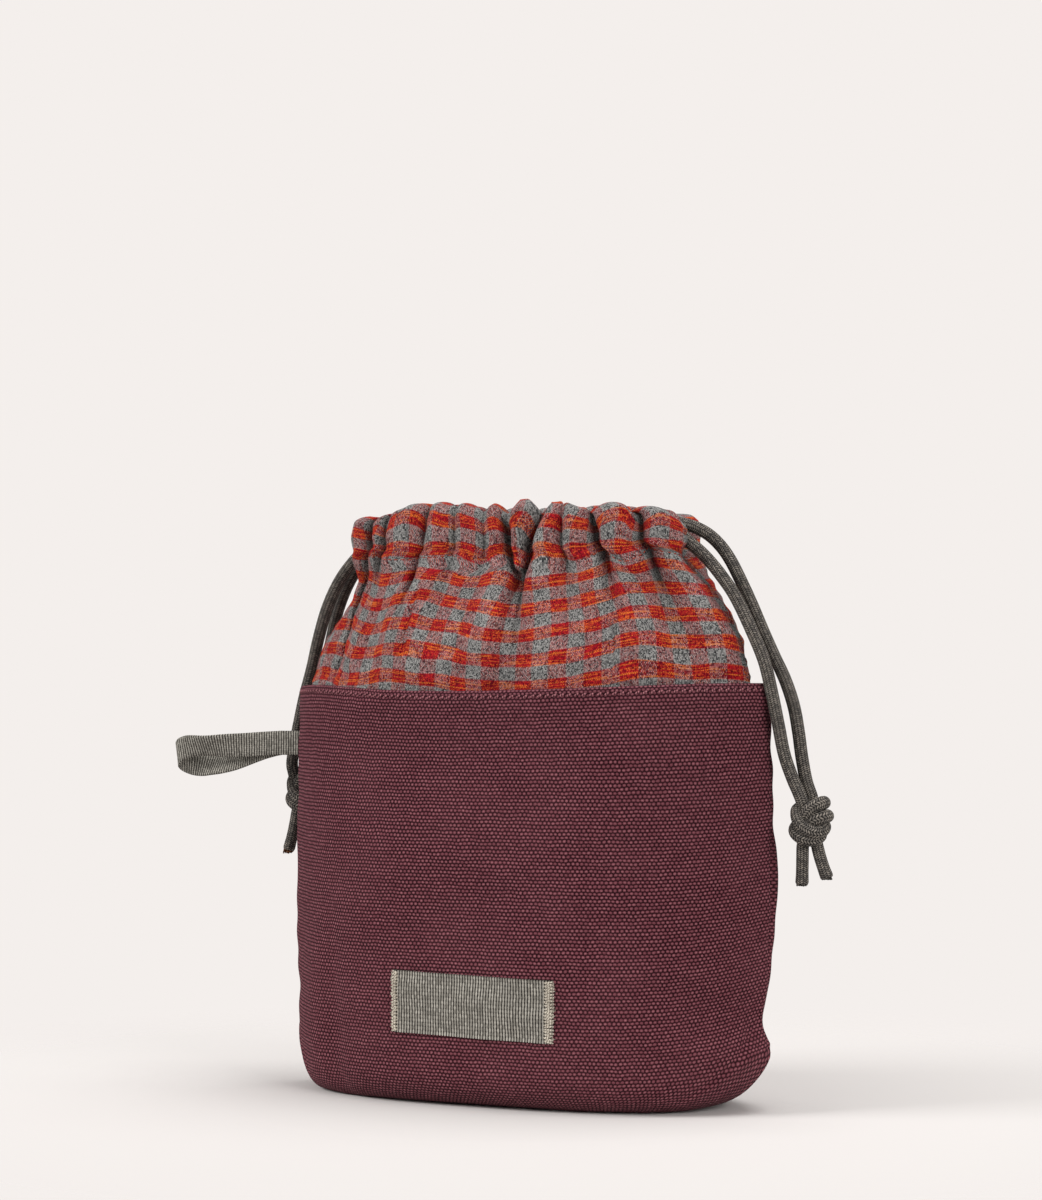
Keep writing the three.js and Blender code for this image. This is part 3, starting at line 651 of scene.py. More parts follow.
@dataclass(frozen=True)
class GinghamFinish(Finish):
    """Yarn-dyed check: grey and red stripes both ways, with mixed squares where they cross.

    Attributes:
        square, rise, yarn: Width and height of a stripe and height of a yarn, in mm.
        pale, deep: The lightest yarn of the grey stripe and the darkest of the red one.
    """

    strength: float = 0.7
    distance: float = 0.0002
    square: float = 7.0
    rise: float = 5.5
    yarn: float = 0.5
    grey: Colour = srgb(42, 44, 46)
    pale: Colour = srgb(168, 166, 163)
    red: Colour = srgb(184, 22, 36)
    deep: Colour = srgb(92, 4, 22)
    orange: Colour = srgb(236, 124, 44)

    def paint(self, g: Graph) -> tuple[Socket, Socket]:
        """The two systems of yarns, each where it lies on top, with painted shade in the gaps between yarns
        and deep in a fold.
        """
        cloth = self.cloth(g)
        sway = g.times(g.minus(g.noise(cloth, 0.05, 2.0), 0.5), 1.6)
        u, v, _ = g.split(cloth)
        warp_place = g.over(g.plus(u, sway), 2.0 * self.square)
        weft_place = g.over(g.plus(v, sway), 2.0 * self.rise)
        weave = g.group(Shared.WEAVE, **{
            "Cloth": cloth, "Crown Width": self.yarn * 1.5, "Crown Height": self.yarn, "Unevenness": 0.3})
        across = g.group(Shared.HEATHER, **{"Cloth": cloth, "Along U": 0.06, "Along V": 1.5})
        down = g.group(Shared.HEATHER, **{"Cloth": cloth, "Along U": 1.5, "Along V": 0.06})
        speck = weave.outputs["Crown"]
        weft_colour = self.yarn_colour(g, self.stripe(g, weft_place), across.outputs["Fleck"], speck, 0.95)
        warp_colour = self.yarn_colour(g, self.stripe(g, warp_place), down.outputs["Fleck"], speck, 0.25)
        colour = g.mix(g.fit(weave.outputs["Over"], 0.0, 1.0, 0.3, 1.0), warp_colour, weft_colour)
        # Painted shade: the colour is darkened between the yarn crowns and deep in the gathered folds.
        fold = g.node("ShaderNodeAttribute", attribute_name="fold_depth").outputs["Fac"]
        shade = g.times(g.fit(weave.outputs["Dome"], 0.05, 0.8, 0.3, 1.0), g.fit(fold, 0.0, 1.0, 1.0, 0.56))
        colour = g.mix(1.0, colour, g.join(shade, shade, shade), "MULTIPLY")
        crumple = g.times(g.noise(cloth, 0.2, 3.0, 0.55), 2.6)
        return colour, g.plus(weave.outputs["Dome"], crumple)

    @staticmethod
    def stripe(g: Graph, place: Socket) -> Socket:
        """1 on the red half of each repeat and 0 on the grey half, with a soft edge of half a yarn."""
        return g.fit(g.math("SINE", g.times(place, 2.0 * math.pi)), -0.12, 0.12)

    def yarn_colour(self, g: Graph, red_share: Socket, fleck: Socket, speck: Socket, heat: float) -> Socket:
        """Colour of one system of yarns: speckled grey, or red with streaks of orange along the yarn.

        Args:
            g: The material's graph.
            red_share: 1 on the red stripes and 0 on the grey ones.
            fleck: Streaks along the yarn, 0 to 1.
            speck: A chance value for each crown, 0 to 1.
            heat: The most orange that a streak takes.

        Returns:
            The colour socket.
        """
        tone = g.plus(g.times(fleck, 0.1), g.times(speck, 0.9))
        grey = g.mix(g.fit(tone, 0.1, 0.9), self.grey, self.pale)
        streak = g.plus(g.times(fleck, 0.75), g.times(speck, 0.25))
        warm = g.mix(g.fit(speck, 0.0, 0.8), self.deep, self.red)
        warm = g.mix(g.fit(streak, 0.54, 0.7, 0.0, heat), warm, self.orange)
        return g.mix(red_share, grey, warm)


@dataclass(frozen=True)
class BraidFinish(Finish):
    """Braided sheath of a drawcord, with the colours of a stitch from low to high: painted shade in the gaps,
    the braid's grey and pale yarn.
    """

    strength: float = 0.9
    # Lowest colour: painted shade in the gaps between stitches; the cloudy wear takes it too.
    gap_shade_and_wear: Colour = srgb(16, 14, 13)
    middle: Colour = srgb(96, 91, 87)
    light: Colour = srgb(180, 169, 156)

    def paint(self, g: Graph) -> tuple[Socket, Socket]:
        """Painted shade in the gaps between the stitches, pale stitches by chance, and a cloudy wear over
        both.
        """
        braid = g.group(Shared.BRAID, Cord=self.cloth(g))
        height = braid.outputs["Height"]
        # Painted shade: the gaps between the stitches darken towards the lowest colour.
        colour = g.mix(g.fit(height, 0.4, 0.95), self.gap_shade_and_wear, self.middle)
        stitch = g.times(braid.outputs["Stitch"], g.fit(height, 0.5, 1.0, 0.0, 0.75))
        colour = g.mix(stitch, colour, self.light)
        cloud = g.noise(self.place(g), 0.12, 3.0)
        return g.mix(g.fit(cloud, 0.35, 0.7, 0.0, 0.2), colour, self.gap_shade_and_wear), height


@dataclass(frozen=True)
class WebbingFinish(Finish):
    """Narrow ribbed tape: mm from rib to rib and warp to warp, and a rib's colours from low to high, the
    lowest a painted shade in the grooves.
    """

    distance: float = 0.00025
    rib: float = 1.15
    warp: float = 0.8
    # Lowest colour: painted shade in the grooves between ribs; the cloudy wear takes it too.
    gap_shade_and_wear: Colour = srgb(34, 30, 30)
    middle: Colour = srgb(132, 128, 119)
    light: Colour = srgb(198, 193, 182)

    def paint(self, g: Graph) -> tuple[Socket, Socket]:
        """Painted shade in the grooves, ribs of yarns that are lighter by chance, and a cloudy wear over
        both.
        """
        cloth = self.cloth(g)
        ribs = g.group(Shared.RIBS, Cloth=cloth, Rib=self.rib, Warp=self.warp)
        height = ribs.outputs["Height"]
        # Painted shade: the grooves darken towards the lowest colour.
        colour = g.mix(g.fit(height, 0.4, 0.8), self.gap_shade_and_wear, self.middle)
        yarn = g.times(ribs.outputs["Thread"], g.fit(height, 0.55, 1.0, 0.0, 0.8))
        colour = g.mix(yarn, colour, self.light)
        cloud = g.noise(cloth, 0.3, 3.0)
        return g.mix(g.fit(cloud, 0.35, 0.7, 0.0, 0.15), colour, self.gap_shade_and_wear), height


@dataclass(frozen=True)
class ThreadFinish(Finish):
    """Sewing thread in one dyed colour, whose plies turn by twist radians in each mm."""

    strength: float = 0.4
    distance: float = 0.0001
    # Lowest colour: painted shade between the plies; the cloudy wear takes it too.
    gap_shade_and_wear: Colour = srgb(62, 26, 34)
    light: Colour = srgb(170, 112, 118)
    twist: float = 6.6

    def paint(self, g: Graph) -> tuple[Socket, Socket]:
        """Height = (1 + sin(2 pi u + twist v)) / 2, with painted shade between the plies and cloudy wear."""
        u, v, _ = g.split(self.cloth(g))
        wave = g.math("SINE", g.plus(g.times(u, 2.0 * math.pi), g.times(v, self.twist)))
        height = g.fit(wave, -1.0, 1.0)
        # Painted shade: the colour darkens between the plies.
        colour = g.mix(g.fit(height, 0.0, 0.8), self.gap_shade_and_wear, self.light)
        cloud = g.noise(self.place(g), 0.35, 2.0)
        return g.mix(g.fit(cloud, 0.35, 0.75, 0.0, 0.5), colour, self.gap_shade_and_wear), height


# The bag's sizes, shared by its parts

@dataclass(frozen=True)
class BagSizes:
    """Main sizes in mm, the same as the solids'."""

    half_width: float = 104.0
    base_half_width: float = 101.0
    half_depth: float = 45.0
    bulge: float = 2.0
    rim: float = 162.0
    rim_fullness: float = 2.4
    base_fullness: float = 3.0
    rim_pinch: float = 1.25
    base_pinch: float = 1.35
    floor_half_width: float = 80.0
    floor_half_depth: float = 30.0
    floor_roundness: float = 3.2
    canvas: float = 1.4
    hem: float = 2.4
    radius_front: float = 15.0
    radius_left: float = 17.0
    radius_right: float = 24.0
    seam_height: float = 23.0
    axis: float = 156.0
    collar: float = 58.0
    mouth_half_width: float = 63.8
    mouth_half_depth: float = 16.0
    mouth_bow: float = 2.2
    slot: float = 7.0
    mouth_straight: float = 0.8
    cord_radius: float = 2.5
    lower_track: float = 220.3
    upper_track: float = 226.8

    def section(self, height: Array | float) -> tuple[Array, Array, Array, Array]:
        """The tub's oval at a height: even from base to rim, with widths that swell by bulge * sin(pi t).

        Args:
            height: Mm above the base.

        Returns:
            Half width, half depth, fullness and pinch.
        """
        t = np.clip(np.asarray(height, float) / self.rim, 0.0, 1.0)
        swell = self.bulge * np.sin(math.pi * t)
        width = self.base_half_width + (self.half_width - self.base_half_width) * t
        fullness = self.base_fullness + (self.rim_fullness - self.base_fullness) * t
        pinch = self.base_pinch + (self.rim_pinch - self.base_pinch) * t
        return width + swell, self.half_depth + swell, fullness, pinch

    @staticmethod
    def half_oval(half_width: float, half_depth: float, fullness: float, pinch: float) -> Array:
        """Front half of an oval pinched at the seams, from the left seam to the right one.

        It holds |x / half_width| ^ fullness + |y / half_depth| ^ pinch = 1.
        """
        angle = np.linspace(0.0, math.pi, 2401)
        cosine = np.cos(angle)
        x = -half_width * np.sign(cosine) * np.abs(cosine) ** (2.0 / fullness)
        y = -half_depth * np.clip(np.sin(angle), 0.0, 1.0) ** (2.0 / pinch)
        return np.stack([x, y], axis=1)

    def half_mouth(self, offset: float) -> Array:
        """Front half of the drawn mouth: slot edge, quarter circle and a front bowed by 1 - (x / reach)^2.

        Args:
            offset: Mm outside the cords' centre line.

        Returns:
            Plan points, from left to right.
        """
        half_width = self.mouth_half_width + offset
        straight = self.slot + self.mouth_straight
        radius = self.mouth_half_depth - straight - self.mouth_bow + offset
        reach = half_width - radius
        turn = np.linspace(0.0, math.pi / 2.0, 40)
        corner = np.stack([-reach - radius * np.cos(turn), -straight - radius * np.sin(turn)], axis=1)
        x = np.linspace(-reach, reach, 160)[1:-1]
        front = np.stack([x, -straight - radius - self.mouth_bow * (1.0 - (x / reach) ** 2)], axis=1)
        other = corner[::-1] * (-1.0, 1.0)
        line = np.vstack([[-half_width, 0.0], corner, front, other, [half_width, 0.0]])
        return at_shares(line, EVEN_SHARES)


EVEN_SHARES = np.linspace(0.0, 1.0, 1201)
SIZES = BagSizes()
# Degrees to the right of the bag's front that the photograph is taken from
VIEW_AZIMUTH = 25.0


class Named(Enum):
    """An option that the names of pieces carry."""

    @property
    def label(self) -> str:
        """The option's name as the pieces use it."""
        return self.name.lower()


class Side(Named):
    """Left or right, as the bag is seen from the front; the value is the sign of x."""

    RIGHT = 1
    LEFT = -1


class Half(Named):
    """The two halves of the mouth."""

    FRONT = 1
    BACK = -1


def dress(piece: Piece, body: str | None, finish: Finish, *nodes: str) -> Piece:
    """Rides a piece on its body, hides the solids it stands for and reports it.

    Args:
        piece: The finished piece.
        body: The body that it rides on, or None, where it is left unattached.
        finish: What it wears; not used.
        nodes: The solids that it stands for.

    Returns:
        The same piece.
    """
    if body:
        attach(piece, body)
    if nodes:
        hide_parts(*nodes)
    LOG.info("%s: %d faces on %s", piece.name, len(piece.data.polygons), body or "two bodies")
    return piece


def blend_halves(piece: Piece, back: float = 20.0, front: float = -20.0) -> None:
    """Bakes a piece's placement into its mesh; back and front, two values of y in mm, only make two points
    that are not used.
    """
    start, end = (0.0, back * MM, SIZES.axis * MM), (0.0, front * MM, SIZES.axis * MM)
    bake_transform(piece)
    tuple(start)
    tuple(end)


# Canvas tub

@dataclass
class CanvasTub:
    """The canvas lower body: one soft shell with a rolled hem, side seams and a rounded flat base.

    Attributes:
        stitch_drop: How far the topstitching lies below the rim.
        left_scale, right_scale, base_scale: Widths of the halves as shares of the even oval's.
        left_lean: Share of its width that the left half loses from base to rim.
        lip: Height where the wall ends and the rolled edge begins.
    """

    finish: CanvasFinish
    thread: ThreadFinish
    columns: int = 270
    stitch_drop: float = 2.6
    stitch_pitch: float = 2.9
    left_scale: float = 0.976
    right_scale: float = 1.014
    left_lean: float = 0.014
    base_scale: tuple[float, float] = (1.05, 0.94)
    lip: float = 160.8
    shares: Array = field(init=False)

    # Sags of the panels: mm outward, x and half width, z and half height
    FRONT_SAGS = ((-1.7, 47.0, 10.0, 8.0, 14.0), (-1.8, 20.0, 24.0, 132.0, 26.0),
                  (1.4, -30.0, 40.0, 92.0, 40.0))
    BACK_SAG = (-1.6, 10.0, 30.0, 105.0, 36.0)
    # Upright folds low on the front: mm outward, x and half width
    FRONT_FOLDS = ((-2.0, -66.0, 6.0), (1.0, -80.0, 8.0))
    # Level folds at the right seam: mm outward, z and half height
    SEAM_FOLDS = ((2.2, 22.0, 7.0), (-1.9, 35.0, 9.0))
    # Rows of the base and of the rounding above it, and the row that the width is measured along
    BASE_ROWS, ROUNDING_ROWS, WIDTH_ROW = 12, 21, 40
    # Mm from a side seam to the columns that are added beside it
    SIDE_STEPS = (0.15, 0.3, 0.5, 0.8, 1.2, 1.6, 2.1, 2.7)

    def __post_init__(self) -> None:
        """Places the columns evenly, with more of them close to the side seams."""
        even = np.linspace(0.0, 1.0, self.columns)
        near = np.array(self.SIDE_STEPS) / 245.0
        self.shares = np.unique(np.round(np.concatenate([even, near, 1.0 - near]), 6))

    def settle(self, x: Array, y: Array, z: Array) -> Array:
        """How far the cloth stands out from its even shape: a sum of bells, each mm * exp(-(d / w)^2).

        Args:
            x, y, z: Places on the even shape, in mm.

        Returns:
            Mm outward at each of them.
        """
        front = smooth((-y - 3.0) / 14.0)
        back = smooth((y - 3.0) / 14.0)
        around = np.where(y < 0, x, 260.0 - x)
        low = smooth((95.0 - z) / 70.0)
        out = 0.6 * ripple(around, z, 74.0, 3) * smooth(z / 30.0) * (front + back)
        out = out + 0.28 * ripple(around, z * 1.6, 27.0, 5) * smooth(z / 20.0)
        for amount, at_x, width in self.FRONT_FOLDS:
            out = out + amount * hump(x, at_x, width) * low * front
        for amount, at_x, width, at_z, height in self.FRONT_SAGS:
            out = out + amount * hump(x, at_x, width) * hump(z, at_z, height) * front
        amount, at_x, width, at_z, height = self.BACK_SAG
        out = out + amount * hump(x, at_x, width) * hump(z, at_z, height) * back
        near_right = smooth((x - 72.0) / 24.0)
        for amount, at_z, height in self.SEAM_FOLDS:
            out = out + near_right * amount * hump(z, at_z, height)
        out = out + near_right * smooth(y / 3.0) * 2.4 * hump(z, 86.0, 24.0)
        return out + self.corner_dart(x, y, z)

    @staticmethod
    def corner_dart(x: Array, y: Array, z: Array) -> Array:
        """Groove of the seam that boxes each bottom corner, from the side seam to the base."""
        place = 101.0 - 22.0 * np.clip((34.0 - z) / 34.0, 0.0, 1.0) ** 1.5
        beside = np.abs(x) - place
        low = smooth((36.0 - z) / 6.0) * (y < 0)
        right = np.where(x > 0, 1.0, 0.45)
        return (-1.0 * hump(beside, 0.0, 0.9) + 0.7 * hump(beside, 3.0, 2.2)) * low * right

    def rim_height(self, x: Array) -> Array:
        """How far the rim rises above its mean height."""
        return 1.3 * hump(x, -80.0, 26.0) - 1.3 * hump(x, -12.0, 50.0) + 1.7 * hump(x, 98.0, 40.0)

    def ring(self, z_front: float, turn: float = 0.0, inset: float = 0.0, hem: float = 0.0,
             seamed: bool = True) -> Array:
        """One closed ring of the shell.

        Args:
            z_front: Height of the ring on the front panel, where turn is 0.
            turn: Angle round the base rounding, from 0 at the wall to 90 degrees at the base.
            inset: Depth below the canvas's outer face.
            hem: Height added above the rim's line, for the rolled edge.
            seamed: Whether the grooves of the seams show.

        Returns:
            Points round the bag: the front from left to right, then the back from right to left.
        """
        s = SIZES
        line = at_shares(s.half_oval(*s.section(max(z_front, s.radius_front))), self.shares)
        floor = s.half_oval(s.floor_half_width, s.floor_half_depth, s.floor_roundness, s.floor_roundness)
        floor = at_shares(floor, self.shares)
        floor[:, 0] *= np.where(floor[:, 0] < 0, *self.base_scale)
        left = self.left_scale - self.left_lean * z_front / s.rim
        line[:, 0] *= np.where(line[:, 0] < 0, left, self.right_scale)
        normal = outward(line)
        near = np.abs(line[:, 0] / line[-1, 0]) ** 6
        side_radius = np.where(line[:, 0] < 0, s.radius_left, s.radius_right)
        radius = s.radius_front + (side_radius - s.radius_front) * near
        way = 1.0 - math.cos(turn)
        if turn > 0.0:
            z = radius - (radius - inset) * math.sin(turn)
        else:
            z = s.rim + (s.rim - z_front) / (s.rim - s.radius_front) * (radius - s.rim)
        run = self.shares * lengths_along(line)[-1]
        edge = np.minimum(run, run[-1] - run)
        halves = []
        for sign in (1.0, -1.0):
            x, y = line[:, 0], sign * line[:, 1]
            out = self.settle(x, y, z)
            if seamed:
                out = out - 0.8 * hump(edge, 0.0, 0.7) + 0.3 * hump(edge, 2.2, 1.3)
                if sign < 0:
                    out = out - 0.8 * hump(z, s.seam_height, 0.8) + 0.3 * hump(z, s.seam_height + 2.2, 1.4)
                hem_step = 0.2 * smooth((z - s.rim + 9.5) / 1.2)
                out = out - 0.35 * hump(z, s.rim - self.stitch_drop, 0.8) + hem_step
            lift = self.rim_height(x) * smooth((z - 105.0) / 52.0) + hem
            amount = out - inset
            across = x + amount * normal[:, 0]
            depth = np.minimum(line[:, 1] + amount * normal[:, 1], -0.004 * edge)
            across = across + way * (floor[:, 0] - across)
            depth = depth + way * (floor[:, 1] - depth)
            bump = 0.35 * out * way if 0.0 < turn < 1.5 else np.zeros(1)
            up = z + lift + np.maximum(bump, -0.2)
            halves.append(np.stack([across, sign * depth, up], axis=1))
        front, back = halves
        return np.vstack([front, back[::-1][1:-1]])

    def rounding(self, inset: float, degrees: Sequence[float]) -> list[Array]:
        """Unseamed rings of the base rounding at these angles, at a depth below the outer face."""
        return [self.ring(SIZES.radius_front, math.radians(angle), inset, seamed=False) for angle in degrees]

    def build(self) -> list[Piece]:
        """Makes the shell, from the base's middle up, over the hem and down the inside, and its stitches."""
        s = SIZES
        base = self.ring(s.radius_front, math.pi / 2.0)
        rings = [base * (share, share, 1.0) for share in np.linspace(0.06, 0.94, self.BASE_ROWS)]
        for degrees in np.linspace(90.0, 0.0, self.ROUNDING_ROWS + 1)[:-1]:
            rings.append(self.ring(s.radius_front, math.radians(degrees)))
        wall = np.concatenate([np.arange(s.radius_front, 150.0, 1.9), np.linspace(150.0, self.lip, 24)])
        wall = np.unique(np.concatenate([wall, s.seam_height + np.array([-1.2, -0.6, 0.0, 0.6, 1.2])]))
        rings += [self.ring(float(z)) for z in wall]
        roll = s.hem / 2.0
        for angle in np.radians(np.linspace(12.0, 168.0, 9)):
            rings.append(self.ring(self.lip, 0.0, roll - roll * math.cos(angle), roll * math.sin(angle),
                                   seamed=False))
        rings += [self.ring(z, 0.0, s.hem, seamed=False) for z in (160.0, 157.0, 154.0, 151.2)]
        inner = (150.8, 145.0, 130.0, 110.0, 90.0, 70.0, 50.0, 30.0, s.radius_front)
        rings += [self.ring(z, 0.0, s.canvas, seamed=False) for z in inner]
        rings += self.rounding(s.canvas, (20.0, 45.0, 70.0, 90.0))
        rings.append(rings[-1] * (0.4, 0.4, 1.0))
        points = np.stack(rings)
        rows, columns = points.shape[:2]
        faces = grid_faces(rows, columns, around=True)
        vertices = np.vstack([points.reshape(-1, 3), [[0.0, 0.0, 0.0]], [[0.0, 0.0, s.canvas]]])
        here = np.arange(columns)[:, None]
        after, last, pole = (here + 1) % columns, (rows - 1) * columns, rows * columns + 0 * here
        fans = np.hstack([pole, after, here, pole + 1, last + here, last + after]).reshape(-1, 3)
        flat_uv = vertices[fans.ravel()][:, :2] * (1.0, -1.0)
        uv = np.vstack([self.cloth_coordinates(points, faces), flat_uv])
        skin = (vertices, faces.tolist() + fans.tolist(), uv)
        tub = new_piece("canvas_tub", skin, self.finish.build())
        dress(tub, "bag", self.finish, "canvas_front_and_base", "canvas_back")
        return [tub, self.topstitch()]

    def cloth_coordinates(self, points: Array, faces: Array) -> Array:
        """Flat-cloth coordinates of the shell: mm round it and mm up it, and plan coordinates on the base.

        Args:
            points: The shell's points by ring and column.
            faces: Corner indices of its quads.

        Returns:
            One pair for each corner of each face.
        """
        columns = points.shape[1]
        centre, edge = columns // 4, self.BASE_ROWS
        pair = unrolled(points, faces, self.WIDTH_ROW)
        on_base = (faces[:, 0] // columns) < edge - 1
        plan = points.reshape(-1, 3)[faces[on_base]][..., :2]
        edge_x, edge_y = points[edge, centre, :2]
        across = lengths_along(points[self.WIDTH_ROW])[centre]
        climb = lengths_along(points[:, centre])[edge]
        pair[on_base, :, 0] = plan[..., 0] - edge_x + across
        pair[on_base, :, 1] = climb - (plan[..., 1] - edge_y)
        return pair.reshape(-1, 2)

    def topstitch(self) -> Piece:
        """One row of slanted stitches just below the rim, all the way round."""
        s = SIZES
        level = s.rim - self.stitch_drop
        low, high = self.ring(level - 0.55), self.ring(level + 0.55)
        low, high = np.vstack([low, low[:1]]), np.vstack([high, high[:1]])
        count = int(lengths_along(low)[-1] / self.stitch_pitch)
        starts = at_shares(low, (np.arange(count) + 0.12) / count)
        ends = at_shares(high, (np.arange(count) + 0.86) / count)
        rng = np.random.default_rng(11)
        parts = []
        for start, end in zip(starts, ends):
            x, y, _ = (start + end) / 2.0
            normal = np.array([x * abs(x) ** 0.4 / s.half_width ** 2.4,
                               np.sign(y) * 0.52 * abs(y) ** 0.25 / s.half_depth ** 1.25, 0.0])
            normal /= np.linalg.norm(normal) + 1e-9
            shake = rng.normal(0.0, 0.09, 3)
            parts.append(thread_stitch(start + shake, end + shake[::-1], normal, 0.44, 0.62))
        piece = new_piece("hem_topstitching", joined(parts), self.thread.build())
        return dress(piece, "bag", self.thread)


# Gathered collar and casing

@dataclass(frozen=True)
class Valley:
    """One valley between two of the casing's lobes; lengths in mm.

    Attributes:
        at: Where it meets the casing's stitch line, as x along the mouth.
        level: How far out its bottom lies from the casing's even line, deep ones below 0.
        last: How far down the collar it lasts.
        lean, join: How much further right it lies at the top edge, and a little below the stitch line.
        under, top: Its level in the same two places, below and at the top, where that differs.
        gap: Half the width of its floor.
    """

    at: float
    level: float
    last: float
    lean: float = 0.0
    join: float = 0.0
    under: float | None = None
    top: float | None = None
    gap: float = 0.3

    def place(self, above: float) -> float:
        """Where it lies at a height above the stitch line."""
        up = min(max(above / 20.0, 0.0), 1.0)
        return self.at + self.lean * up ** 1.6 + self.join * float(smooth(-above / 9.0))

    def height(self, above: float) -> float:
        """Its level at a height above the stitch line, before it fades out."""
        under = self.level if self.under is None else self.under
        top = self.level if self.top is None else self.top
        return (self.level + (under - self.level) * float(smooth(-above / 10.0))
                + (top - self.level) * float(smooth((above - 9.0) / 9.0)))


